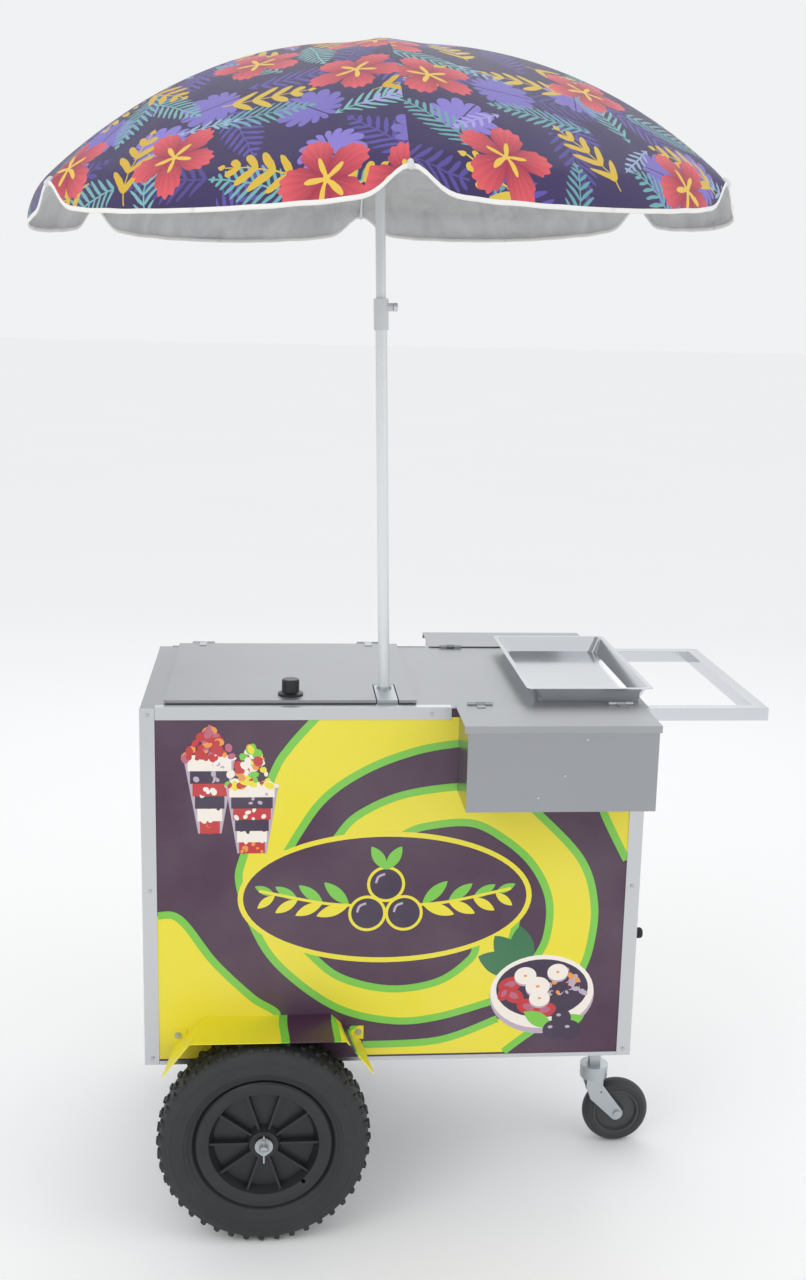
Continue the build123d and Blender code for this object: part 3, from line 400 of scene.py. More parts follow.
def block_mesh(name, outline, depth, taper):
    """A tread block: outline in (Y, Z) round the tyre, X outwards, its top drawn in by taper."""
    count = len(outline)
    points = [Vector((0, y, z)) for y, z in outline]
    middle = sum(points, Vector()) / count
    points += [middle.lerp(p, taper) + Vector((depth, 0, 0)) for p in points]
    faces = [tuple(range(count - 1, -1, -1)), tuple(range(count, 2 * count))]
    faces += [(k, (k + 1) % count, (k + 1) % count + count, k + count) for k in range(count)]
    return outward(new_piece(name, points, faces, [tyre_rubber], smooth=False))


BLOCK_COUNT = 42
crown_block = [(1.5, -6.0), (14.0, -4.5), (16.5, 1.0), (13.0, 5.0), (1.5, 3.0)]
shoulder_block = [(20.0, -5.5), (31.5, -5.0), (34.5, 1.5), (31.5, 5.0), (21.5, 4.0)]
ring, ring_inputs = ring_tree("blocks_round_a_tyre", tyre_rubber)
blocks = {}
for row, (shape, base, depth) in {
    "crown": (crown_block, 174.0, 5.2),
    "shoulder": (shoulder_block, 165.0, 11.0),
}.items():
    for face in (-1, 1):
        outline = [(face * y * MM, z * MM) for y, z in shape]
        blocks[row, face] = (block_mesh(f"{row}_block", outline, depth * MM, 0.9), base * MM)
print("tread rows", len(blocks))

# %% Assemble the tyres
def join(pieces, name):
    """Join pieces into the first, which takes the name."""
    with bpy.context.temp_override(active_object=pieces[0], selected_editable_objects=pieces):
        bpy.ops.object.join()
    pieces[0].name = name
    pieces[0].data.name = name
    return pieces[0]


for side, body in WHEELS.items():
    centre = wheel_centres[side]
    parts = [lathe(f"{side}_casing", casing_outline(), centre, 128, tyre_rubber)]
    for number, ((row, face), (block, base)) in enumerate(blocks.items()):
        holder = new_piece(f"{side}_{row}_{number}", [], [], [tyre_rubber])
        rows = holder.modifiers.new("blocks", "NODES")
        rows.node_group = ring
        step = 2 * math.pi / BLOCK_COUNT
        values = {
            "Block": block,
            "Radius": base,
            "Count": BLOCK_COUNT,
            "Start": step * (0.5 if face > 0 else 0.0) + step * (0.35 if row == "shoulder" else 0.0),
            "Centre": centre,
        }
        for key, value in values.items():
            rows[ring_inputs[key]] = value
        parts.append(applied(holder))
    tyre = join(parts, f"{side}_block_tyre")
    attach(tyre, body)
    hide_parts(f"{side}_tyre")
    print(tyre.name, len(tyre.data.polygons), "faces")
for block, _ in blocks.values():
    bpy.data.objects.remove(block)

# %% [markdown]
# ## Printed vinyl
# The big panel is wrapped in glossy printed film, in flat process colours. Film on sheet steel is never quite
# flat: it ripples by a few hundredths of a millimetre, and it fades in patches. Each colour is one finish.

# %% Printed vinyl finishes
def film(name, colour, fade="#ffffff", share=0.05):
    """Glossy printed film: its colour fades a little in patches, and its surface ripples."""
    material, tree, shader = finish(name, Roughness=0.42, Coat_Weight=0.12, Coat_Roughness=0.12)
    place = add(tree, COORDS).outputs["Object"]
    patches = add(tree, NOISE, {"Vector": place, "Scale": 7.0, "Detail": 4.0})
    amount = add(tree, RAMP, {"Value": patches, "From Min": 0.3, "From Max": 0.8, "To Max": share})
    tint = add(tree, MIX, {"Fac": amount, "Color1": linear(colour), "Color2": linear(fade)})
    ripple = add(tree, NOISE, {"Vector": place, "Scale": 38.0, "Detail": 2.0})
    relief = add(tree, BUMP, {"Height": ripple, "Strength": 0.12, "Distance": 0.002})
    feed(tree, shader, Base_Color=tint, Normal=relief)
    return material


INKS = {
    "plum": "#452541", "yellow": "#e8da2c", "green": "#76c440", "leaf": "#2b6f45", "red": "#bf2a30",
    "cream": "#f0e7dc", "berry": "#34213f", "orange": "#e8963a", "rose": "#b9607a", "glass": "#b9a9b9",
}
inks = {name: film(f"vinyl_print_{name}", colour) for name, colour in INKS.items()}
ink_order = list(inks)
for name in ("front_panel", "back_panel"):
    dress(name, inks["plum"])
print("inks", ink_order)

# %% [markdown]
# ## Print shapes
# The print is flowing yellow bands with green borders, an oval badge, two dessert cups and a bowl of fruit.
# Each shape is a closed slip of film laid a hair over the last, as a sign maker builds up cut vinyl, so no
# picture is needed and the edges stay sharp. Sizes are millimetres from the panel's left edge and the floor.

# %% Print shapes
def smooth_line(points, fine=7):
    """A Catmull-Rom curve through the points."""
    points = [Vector(p) for p in (points[0], *points, points[-1])]
    line = []
    for a, b, c, d in zip(points, points[1:], points[2:], points[3:]):
        for step in range(fine):
            t = step / fine
            bend = (2 * a - 5 * b + 4 * c - d) * t**2 + (3 * b - a - 3 * c + d) * t**3
            line.append(0.5 * (2 * b + (c - a) * t + bend))
    return line + [points[-1]]


def ribbon(points, width):
    """A band of even width along a smooth line."""
    line = smooth_line(points)
    sides = ([], [])
    for k, p in enumerate(line):
        along = (line[min(k + 1, len(line) - 1)] - line[max(k - 1, 0)]).normalized()
        across = Vector((-along.y, along.x)) * width / 2
        sides[0].append(p + across)
        sides[1].append(p - across)
    return sides[0] + sides[1][::-1]


def turned(u, z, along, off, turn):
    """The point at (along, off) from (u, z) on axes turned by degrees."""
    cosine, sine = math.cos(math.radians(turn)), math.sin(math.radians(turn))
    return Vector((u + along * cosine - off * sine, z + along * sine + off * cosine))


def oval(u, z, half_width, half_height, turn=0.0, steps=40):
    """An ellipse, turned by degrees."""
    angles = [2 * math.pi * k / steps for k in range(steps)]
    return [turned(u, z, half_width * math.cos(a), half_height * math.sin(a), turn) for a in angles]


def leaf(u, z, length, width, turn, steps=14):
    """A pointed leaf from its stem at (u, z)."""
    edge = []
    for face in (1, -1):
        for k in range(steps):
            t = k / steps if face > 0 else 1 - k / steps
            off = face * width / 2 * math.sin(math.pi * t) ** 0.8
            edge.append(turned(u, z, length * t, off, turn))
    return edge


OUTER_EDGE = [(285, 892), (241, 841), (214, 794), (168, 660), (160, 600), (196, 500), (247, 436), (328, 377)]
OUTER_EDGE += [(419, 353), (499, 359), (600, 389)]
TOP_EDGE = [(560, 853), (538, 850), (451, 835), (363, 800), (293, 747), (238, 661)]
CRESCENT = [(272, 484), (326, 436), (412, 412), (496, 424), (551, 465), (560, 494)]
LOOP_OUTER = [(320, 684), (354, 723), (431, 759), (541, 773), (610, 760), (659, 723), (735, 641), (761, 559)]
LOOP_OUTER += [(756, 480), (740, 430)]
LOOP_INNER = [(430, 688), (466, 703), (543, 709), (599, 682), (651, 635), (682, 571), (680, 500), (655, 450)]
LEFT_WAVE = [(24, 550), (49, 550), (72, 530), (117, 465), (180, 400), (223, 365), (175, 324)]
LOW_WAVE = [(369, 309), (500, 315), (601, 353)]
LOW_END = [(668, 333), (640, 312), (614, 291)]
CORNER_WAVE = [(762, 760), (770, 723), (812, 641)]
CURL = [(600, 450), (612, 478), (622, 504), (628, 537)]
GREEN_WIDTH = 13


EDGES = [OUTER_EDGE, CURL, TOP_EDGE, CRESCENT, LOOP_OUTER, LOOP_INNER, LEFT_WAVE, LOW_WAVE, LOW_END]
EDGES.append(CORNER_WAVE)


def corners(*points):
    """Plain points of an outline."""
    return [Vector(p) for p in points]


def print_layers():
    """Every shape as (ink, layer, outline), in four groups: bands, badge, cups and bowl."""
    sweep = smooth_line(OUTER_EDGE) + smooth_line(CURL) + corners((590, 520), (556, 483))
    sweep += smooth_line(CRESCENT[::-1]) + corners((300, 560))
    sweep += smooth_line(TOP_EDGE[::-1]) + corners((575, 892))
    fields = [
        sweep,
        smooth_line(LOOP_OUTER) + smooth_line(LOOP_INNER[::-1]) + corners((400, 690)),
        smooth_line(LEFT_WAVE) + corners((120, 290), (6, 290), (6, 550)),
        smooth_line(LOW_WAVE) + corners((664, 330), (612, 290), (369, 290)),
        smooth_line(CORNER_WAVE) + corners((830, 610), (830, 760)),
    ]
    rows = [("yellow", 1, field) for field in fields]
    rows += [("green", 2, ribbon(edge, GREEN_WIDTH)) for edge in EDGES]
    cups = cup(111, 42, 694, 823, 52, 19, ("red", "rose", "red", "orange"))
    cups += cup(180, 43, 659, 776, 66, 24, ("yellow", "green", "red", "orange", "cream"))
    return [rows, badge(), cups, fruit_bowl()]


def badge():
    """Oval badge with berries and leaves on it."""
    middle = 404
    rows = [("yellow", 4, oval(middle, 578, 248, 117, steps=72))]
    rows.append(("plum", 5, oval(middle, 578, 239, 108, steps=72)))
    for side in (-1, 1):
        for k, (off, rise, tilt) in enumerate(((62, -8, 12), (106, -4, 6), (148, 2, 0), (186, 10, -6))):
            for upper, ink in ((1, "green"), (-1, "yellow")):
                turn = (0 if side > 0 else 180) + side * (tilt + upper * 32)
                rows.append((ink, 6, leaf(middle + side * off, 574 + rise, 58 - 7 * k, 20 - 2 * k, turn)))
        stalk = [(middle + side * off, z) for off, z in ((48, 564), (110, 570), (212, 592))]
        rows.append(("yellow", 6, ribbon(stalk, 5)))
    for u, z in ((middle, 602), (middle - 31, 550), (middle + 31, 550)):
        rows.append(("yellow", 6, oval(u, z, 32, 32)))
        rows.append(("berry", 6, oval(u, z, 27, 27)))
        rows.append(("glass", 7, ribbon([(u - 17, z + 2), (u - 13, z + 13), (u - 2, z + 18)], 4)))
    return rows + [("green", 7, leaf(middle, 628, 48, 20, turn)) for turn in (58, 122)]


def crumbs(chance, u, z, half_width, high, choice, count, size, layer):
    """Small pieces heaped in a mound: wide at the foot, few at the top."""
    rows = []
    for _ in range(count):
        rise = chance.random() ** 1.3
        off = (chance.random() * 2 - 1) * half_width * (1 - rise**1.6)
        wide = size * (0.6 + 0.7 * chance.random())
        low = wide * (0.6 + 0.3 * chance.random())
        spot = oval(u + off, z + rise * high, wide, low, chance.random() * 180, steps=9)
        rows.append((chance.choice(choice), layer, spot))
    return rows


def cup(middle, half_rim, base, rim, topping, half_base, heap):
    """A layered dessert in a clear cup, with chopped fruit heaped on top."""
    chance = random.Random(middle)
    foot = corners((middle - half_base, base), (middle + half_base, base))
    rows = [("glass", 3, foot + corners((middle + half_rim, rim), (middle - half_rim, rim)))]
    shades = [("red", "orange"), ("cream", "cream"), ("berry", "berry"), ("red", "cream"), ("berry", "glass")]
    shades.append(("cream", "glass"))
    size = (rim - base) / len(shades)
    for k, inks_here in enumerate(shades):
        low = (k + 0.1) / len(shades)
        half = half_base + (half_rim - half_base) * low - 3
        z = base + k * size
        wave = [(middle - half + half * j / 4, z + size * (1.0 + 0.22 * chance.random())) for j in range(9)]
        rows.append((inks_here[0], 3, corners((middle + half, z), (middle - half, z), *wave)))
        rows += crumbs(chance, middle, z, half - 3, size, inks_here, 7, 4.5, 4)
    rows.append(("cream", 4, oval(middle, rim, half_rim + 2, 7)))
    rows += crumbs(chance, middle, rim, half_rim - 2, topping, heap, 62, 7.5, 5)
    return rows


def fruit_bowl():
    """A pale round bowl seen from above, with fruit in it, and loose berries beside it."""
    chance = random.Random(7)
    u, z = 677, 402
    rows = [("leaf", 3, leaf(u - 34, 440, 84, 44, turn)) for turn in (96, 128, 160)]
    rows += [("glass", 4, oval(u, z - 6, 91, 72)), ("cream", 4, oval(u, z, 90, 68))]
    rows.append(("berry", 5, oval(u, z + 6, 80, 54)))
    rows += crumbs(chance, u + 38, z - 4, 38, 46, ("glass", "plum", "berry", "orange", "glass"), 70, 5.5, 5)
    cut_fruit = [(-56, 14, 21, 20), (-50, -6, 20, -30), (-66, -2, 15, 60), (-22, -28, 22, -20)]
    cut_fruit.append((6, -34, 20, 10))
    for off, rise, size, turn in cut_fruit:
        rows.append(("red", 5, oval(u + off, z + rise, size, size * 0.66, turn)))
        rows.append(("rose", 5, oval(u + off, z + rise, size * 0.5, size * 0.28, turn)))
    for off, rise, size in ((-30, 30, 19), (-8, 10, 21), (-4, -12, 18), (26, 36, 18)):
        rows.append(("glass", 6, oval(u + off, z + rise - 3, size, size * 0.86)))
        rows.append(("cream", 6, oval(u + off, z + rise, size, size * 0.84)))
        rows.append(("orange", 6, oval(u + off, z + rise, size * 0.16, size * 0.12, steps=12)))
    rows += [("green", 6, leaf(u + 20, 336, 58, 26, turn)) for turn in (150, 18)]
    for off, low, size in ((36, 352, 17), (22, 330, 18), (52, 330, 18)):
        rows.append(("berry", 7, oval(u + off, low, size, size)))
        rows.append(("glass", 7, oval(u + off - 5, low + 6, size * 0.24, size * 0.16, steps=12)))
    return rows


layers = print_layers()
print("print shapes", [len(group) for group in layers])

# %% Lay the print on both faces
# A slip stands as high as its layer, up to the third, and a tiny step more for each slip before it in
# its group. The bands lie in the first two layers, and the other three groups in the third.
LAYER, STEP, TOP_LAYER = 0.09 * MM, 0.004 * MM, 3


def lay_print(name, plane, out, groups):
    """Each outline as a closed slip of film on the panel's plane, facing out along Y."""
    points, faces, paints = [], [], []
    in_order = [(order, *row) for group in groups for order, row in enumerate(group)]
    for order, ink, layer, outline in in_order:
        first, count = len(points), len(outline)
        for depth in (0.05 * LAYER, min(layer, TOP_LAYER) * LAYER + order * STEP):
            points += [Vector((LEFT + p.x * MM, plane + out * depth, p.y * MM)) for p in outline]
        cut = tessellate_polygon([[Vector((p.x, p.y, 0)) for p in outline]])
        made = [tuple(start + k for k in triangle) for start in (first, first + count) for triangle in cut]
        for k in range(count):
            after = (k + 1) % count
            made.append((first + k, first + after, first + count + after, first + count + k))
        faces += made
        paints += [ink_order.index(ink)] * len(made)
    piece = outward(new_piece(name, points, faces, list(inks.values()), paints, smooth=False), merge=False)
    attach(piece, "cart")
    return piece


front_print = lay_print("front_print", FRONT, -1, layers)
back_print = lay_print("back_print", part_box("back_panel")[1].y, 1, layers)
print("film faces", len(front_print.data.polygons))

# %% [markdown]
# ## Printed mudguards
# The mudguards are cut from the same printed sheet, so the yellow and green bands run on over them. One
# finish reads the height and the distance along X and picks the ink there: its bands slant as on the panel.

# %% Printed mudguards
BAND_SLANT, BAND_HEIGHT, BAND_SHIFT, BAND_REACH = -1.3, 0.34, 0.015, 0.2
guard, tree, shader = finish("vinyl_print_on_mudguard", Roughness=0.42, Coat_Weight=0.12, Coat_Roughness=0.12)
place = add(tree, COORDS).outputs["Object"]
parted = add(tree, "ShaderNodeSeparateXYZ", [place])
wander = add(tree, NOISE, {"Vector": place, "Scale": 6.0, "Detail": 0.0})
slant = add(tree, MATH, [parted.outputs["Z"], BAND_SLANT, parted.outputs["X"]], operation="MULTIPLY_ADD")
wavy = add(tree, MATH, [wander, 0.03, slant], operation="MULTIPLY_ADD")
guard_low, guard_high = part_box("front_fender")
middle = (guard_low.x + guard_high.x) / 2 + BAND_SLANT * BAND_HEIGHT + BAND_SHIFT
along = add(tree, RAMP, {"Value": wavy, "From Min": middle - BAND_REACH, "From Max": middle + BAND_REACH})
bands = add(tree, "ShaderNodeValToRGB", [along])
bands.color_ramp.interpolation = "CONSTANT"
stops = [(0.0, "yellow"), (0.455, "green"), (0.49, "plum"), (0.69, "green"), (0.72, "yellow")]
stops += [(0.785, "plum"), (0.85, "green"), (0.88, "yellow")]
while len(bands.color_ramp.elements) < len(stops):
    bands.color_ramp.elements.new(0.5)
for element, (position, ink) in zip(bands.color_ramp.elements, stops):
    element.position = position
    element.color = linear(INKS[ink])
feed(tree, shader, Base_Color=bands)
for name in ("front_fender", "back_fender"):
    dress(name, guard)
print("mudguards", round(guard_high.x - guard_low.x, 3), "long")

# %% [markdown]
# ## Umbrella cloth print
# The cloth is printed polyester: coral flowers with a yellow star, pale fronds and round-lobed leaves on deep
# purple. Each motif sits in a jittered cell and is turned at random; its outline is a rule in polar form.
# The cloth carries its own flat map in metres, so the motifs keep their real size, about 60 to 120 mm.

# %% Umbrella cloth print
def run(tree, known, rows):
    """Add a row of sums: each names its result, its operation and what it reads, by name or as a number."""
    for name, operation, *inputs in rows:
        read = [known.get(i, i) if isinstance(i, str) else i for i in inputs]
        known[name] = add(tree, MATH, read, operation=operation)
    return known


def cell_places(tree, flat, cell, offset, randomness):
    """Place, turned at random, from the middle of the nearest cell: x, y, angle, reach and a random share."""
    moved = add(tree, VECTOR, [flat, offset], operation="ADD")
    cells = add(tree, "ShaderNodeTexVoronoi", {"Vector": moved, "Scale": 1 / cell, "Randomness": randomness},
                voronoi_dimensions="2D")
    off = add(tree, VECTOR, [moved, cells.outputs["Position"]], operation="SUBTRACT")
    luck = add(tree, "ShaderNodeSeparateXYZ", [cells.outputs["Color"]])
    spin = add(tree, MATH, [luck.outputs["X"], 2 * math.pi], operation="MULTIPLY")
    turned = add(tree, "ShaderNodeVectorRotate", {"Vector": off, "Angle": spin}, rotation_type="Z_AXIS")
    parts = add(tree, "ShaderNodeSeparateXYZ", [turned])
    known = {"x": parts.outputs["X"], "y": parts.outputs["Y"], "luck": luck.outputs["Y"]}
    return run(tree, known, [
        ("angle", "ARCTAN2", "y", "x"), ("xx", "MULTIPLY", "x", "x"), ("rr", "MULTIPLY_ADD", "y", "y", "xx"),
        ("reach", "SQRT", "rr"),
    ])


def flower(tree, flat, cell, offset, size):
    """Five ruffled petals with fine veins and darker gaps, and a small star in the middle."""
    known = cell_places(tree, flat, cell, offset, 0.6)
    return run(tree, known, [
        ("five", "MULTIPLY", "angle", 2.5), ("wave", "COSINE", "five"), ("petal", "ABSOLUTE", "wave"),
        ("round", "POWER", "petal", 0.6), ("many", "MULTIPLY", "angle", 31.0), ("crimp", "SINE", "many"),
        ("ruffle", "MULTIPLY_ADD", "crimp", 0.035 * size, 0.40 * size),
        ("edge", "MULTIPLY_ADD", "round", 0.60 * size, "ruffle"), ("mask", "LESS_THAN", "reach", "edge"),
        ("spoke", "POWER", "petal", 5.0),
        ("star_edge", "MULTIPLY_ADD", "spoke", 0.38 * size, 0.08 * size),
        ("star", "LESS_THAN", "reach", "star_edge"), ("share", "DIVIDE", "reach", "edge"),
        ("vein", "MULTIPLY_ADD", "crimp", 0.10, "share"), ("tone", "MULTIPLY", "vein", "round"),
    ])


def frond(tree, flat, cell, offset, size, ranks, gap, wide=0.40):
    """A feathered frond: pointed leaflets slanting from both sides of a stalk."""
    known = cell_places(tree, flat, cell, offset, 0.8)
    return run(tree, known, [
        ("side", "ABSOLUTE", "x"), ("slope", "MULTIPLY_ADD", "side", -0.9, "y"),
        ("rank", "MULTIPLY", "slope", math.pi * ranks / size), ("comb", "SINE", "rank"),
        ("yy", "DIVIDE", "y", size), ("y2", "MULTIPLY", "yy", "yy"), ("room", "SUBTRACT", 1.0, "y2"),
        ("width", "MULTIPLY", "room", wide * size), ("taper", "DIVIDE", "side", "width"),
        ("mid", "SUBTRACT", "taper", 0.45), ("mid2", "MULTIPLY", "mid", "mid"),
        ("point", "MULTIPLY_ADD", "mid2", 4.0, gap), ("open", "GREATER_THAN", "comb", "point"),
        ("stalk", "LESS_THAN", "side", 0.0012), ("solid", "MAXIMUM", "open", "stalk"),
        ("inside", "LESS_THAN", "side", "width"), ("mask", "MULTIPLY", "inside", "solid"),
    ])


def lobed_leaf(tree, flat, cell, offset, size):
    """A broad leaf with deep slits between its lobes."""
    known = cell_places(tree, flat, cell, offset, 0.7)
    return run(tree, known, [
        ("turn", "MULTIPLY", "angle", 6.5), ("wave", "COSINE", "turn"), ("notch", "ABSOLUTE", "wave"),
        ("lobe", "POWER", "notch", 0.3), ("tooth", "MULTIPLY_ADD", "lobe", 0.46, 0.36),
        ("heart", "COSINE", "angle"), ("full", "MULTIPLY_ADD", "heart", 0.26, "tooth"),
        ("edge", "MULTIPLY", "full", size), ("whole", "LESS_THAN", "reach", "edge"),
        ("side", "ABSOLUTE", "y"), ("rib", "GREATER_THAN", "side", 0.0012),
        ("mask", "MULTIPLY", "whole", "rib"),
    ])


sheen = {"Sheen_Weight": 0.25, "Sheen_Roughness": 0.4}
cloth, tree, shader = finish("printed_polyester_cloth", Roughness=0.62, **sheen)
flat = add(tree, "ShaderNodeUVMap", uv_map="flat").outputs[0]
warp = add(tree, NOISE, {"Vector": flat, "Scale": 26.0, "Detail": 2.0})
nudge = add(tree, VECTOR, [warp.outputs["Color"], (0.008, 0.008, 0.0)], operation="MULTIPLY")
drawn = add(tree, VECTOR, [flat, nudge], operation="ADD").outputs[0]
faded = add(tree, NOISE, {"Vector": flat, "Scale": 3.5, "Detail": 3.0})
ground = add(tree, MIX, {"Fac": faded, "Color1": linear("#2b1d4c"), "Color2": linear("#392a62")})
colour = ground
motifs = [
    (frond, 0.150, (0.31, 0.17, 0), 0.080, "#5a4ca6", "#4b4189", {"ranks": 10, "gap": -0.1}),
    (lobed_leaf, 0.185, (1.63, 0.83, 0), 0.056, "#8577cc", "#7467bb", {}),
    (frond, 0.155, (2.27, 1.41, 0), 0.078, "#7bb9b6", "#4f8f98", {"ranks": 12, "gap": 0.0, "wide": 0.38}),
    (frond, 0.230, (4.61, 3.07, 0), 0.050, "#a79be0", "#7fc0bb", {"ranks": 6, "gap": 0.1, "wide": 0.32}),
    (frond, 0.185, (3.19, 2.13, 0), 0.068, "#d2a91f", "#dcc047", {"ranks": 5, "gap": -0.3, "wide": 0.46}),
]
for rule, cell, offset, size, one, other, habit in motifs:
    shape = rule(tree, drawn, cell, offset, size, **habit)
    shade = add(tree, MIX, {"Fac": shape["luck"], "Color1": linear(one), "Color2": linear(other)})
    colour = add(tree, MIX, {"Fac": shape["mask"], "Color1": colour, "Color2": shade})
bloom = flower(tree, drawn, 0.225, (0.71, 0.39, 0), 0.066)
veined = add(tree, "ShaderNodeValToRGB", [bloom["tone"]])
for element, position, code in zip(veined.color_ramp.elements, (0.12, 0.95), ("#a02a44", "#dd5660")):
    element.position = position
    element.color = linear(code)
colour = add(tree, MIX, {"Fac": bloom["mask"], "Color1": colour, "Color2": veined})
colour = add(tree, MIX, {"Fac": bloom["star"], "Color1": colour, "Color2": linear("#e6c14a")})
# Plain weave of about 0.25 mm threads, drawn four times as coarse so that it shows.
fine = {"Vector": flat, "Scale": 320.0}
threads = [add(tree, "ShaderNodeTexWave", fine, bands_direction=way) for way in "XY"]
weave = add(tree, MATH, threads, operation="ADD")
creases = add(tree, NOISE, {"Vector": flat, "Scale": 9.0, "Detail": 4.0})
height = add(tree, MATH, [creases, 14.0, weave], operation="MULTIPLY_ADD")
relief = add(tree, BUMP, {"Height": height, "Strength": 0.25, "Distance": 0.0006})
feed(tree, shader, Base_Color=colour, Normal=relief)

lining, tree, shader = finish("silver_coated_underside", Roughness=0.45, Metallic=0.55)
flat = add(tree, "ShaderNodeUVMap", uv_map="flat").outputs[0]
crumple = add(tree, NOISE, {"Vector": flat, "Scale": 22.0, "Detail": 5.0, "Distortion": 0.8})
# The silver is lighter where the crumple noise is high and darker where it is low, the same noise that drives
# the relief: painted highlight on the crease ridges and painted shade in their hollows.
silver_with_painted_crease_light = add(tree, MIX, {"Fac": crumple, "Color1": linear("#a6a6a8"), "Color2": linear("#d3d3d4")})
relief = add(tree, BUMP, {"Height": crumple, "Strength": 0.6, "Distance": 0.006})
feed(tree, shader, Base_Color=silver_with_painted_crease_light, Normal=relief)

tape, tree, shader = finish("white_woven_tape", Roughness=0.7, Sheen_Weight=0.3)
place = add(tree, COORDS).outputs["Object"]
cords = add(tree, "ShaderNodeTexWave", {"Vector": place, "Scale": 180.0}, bands_direction="DIAGONAL")
soiled = add(tree, NOISE, {"Vector": place, "Scale": 12.0, "Detail": 3.0})
tint = add(tree, MIX, {"Fac": soiled, "Color1": linear("#e3e1dc"), "Color2": linear("#f2f1ee")})
relief = add(tree, BUMP, {"Height": cords, "Strength": 0.35, "Distance": 0.0006})
feed(tree, shader, Base_Color=tint, Normal=relief)
print("cloth finish made")

# %% [markdown]
# ## Umbrella cloth
# Six panels are cut and sewn along the ribs into one dome. The cloth is tight along each rib and hangs a
# little slack between them, and its hem falls lower between the rib tips. It is built here in six pieces that
# meet in the middle of the panels, so that each can fold in with its own rib when the umbrella shuts.

# %% Umbrella cloth shape
APEX, DOME, CAP_RADIUS, SHOULDER, HEM = 1.036, 0.787, 0.012, 0.528, 0.552
HEM_FALL, HEM_PINCH, SLACK, CLOTH = 0.034, 0.036, 0.024, 0.0007
HEM_DRAW = 0.010
PANEL_SHIFT = (1.37, 0.61)
SECTOR, ACROSS, DOWN, SKIRT = math.radians(60), 48, 40, 12


def on_umbrella(angle, reach, rise):
    """A point by its angle round the pole, its distance from it and its height up it."""
    return POLE_FOOT + (POLE_OUT * math.cos(angle) + POLE_SIDE * math.sin(angle)) * reach + POLE_UP * rise


def cloth_point(rib_angle, off, row):
    """One point of the cloth: off is the angle from the rib, row counts from the crown to the hem."""
    share = abs(off) / (SECTOR / 2)
    if row <= DOWN:
        reach = CAP_RADIUS + (SHOULDER - CAP_RADIUS) * row / DOWN
        fall = 0.0
    else:
        part = (row - DOWN) / SKIRT
        reach = SHOULDER + (HEM - SHOULDER) * math.sin(part * math.pi / 2)
        distance = HEM * abs(off)
        fall = HEM_FALL * (1 - math.exp(-((distance / HEM_PINCH) ** 2))) * part**1.35
        reach -= HEM_DRAW * math.sin(share * math.pi / 2) ** 2 * part
    wide = reach / SHOULDER
    slack = SLACK * math.sin(share * math.pi / 2) ** 1.3 * min(wide, 1.0) ** 1.1
    pucker = 0.0016 * math.sin(9 * share * math.pi) * max(0.0, wide - 0.55) * (1 - share)
    rise = APEX - DOME + math.sqrt(DOME**2 - reach**2) - slack - fall + pucker
    return on_umbrella(rib_angle + off, reach, rise)


def panel_flat(rib_number, off, length):
    """Place on the flat cut panel in metres: each panel is cut from another part of the cloth."""
    panel = rib_number + (1 if off > 0 else 0)
    inside = off - math.copysign(SECTOR / 2, off)
    start = [(panel % 6) * shift + 1.0 for shift in PANEL_SHIFT]
    return (length * math.sin(inside) + start[0], length * math.cos(inside) + start[1])


print("hem is", round(2 * HEM, 3), "across")

# %% Umbrella cloth pieces
def inside_of(outer):
    """The same grid of points moved in by the thickness of the cloth."""
    rows, columns = len(outer), len(outer[0])
    inner = []
    for row in range(rows):
        inner.append([])
        for k in range(columns):
            down = outer[min(row + 1, rows - 1)][k] - outer[max(row - 1, 0)][k]
            side = outer[row][min(k + 1, columns - 1)] - outer[row][max(k - 1, 0)]
            normal = down.cross(side).normalized()
            if normal.dot(POLE_UP) < 0 and row < DOWN:
                normal.negate()
            inner[row].append(outer[row][k] - normal * CLOTH)
    return inner


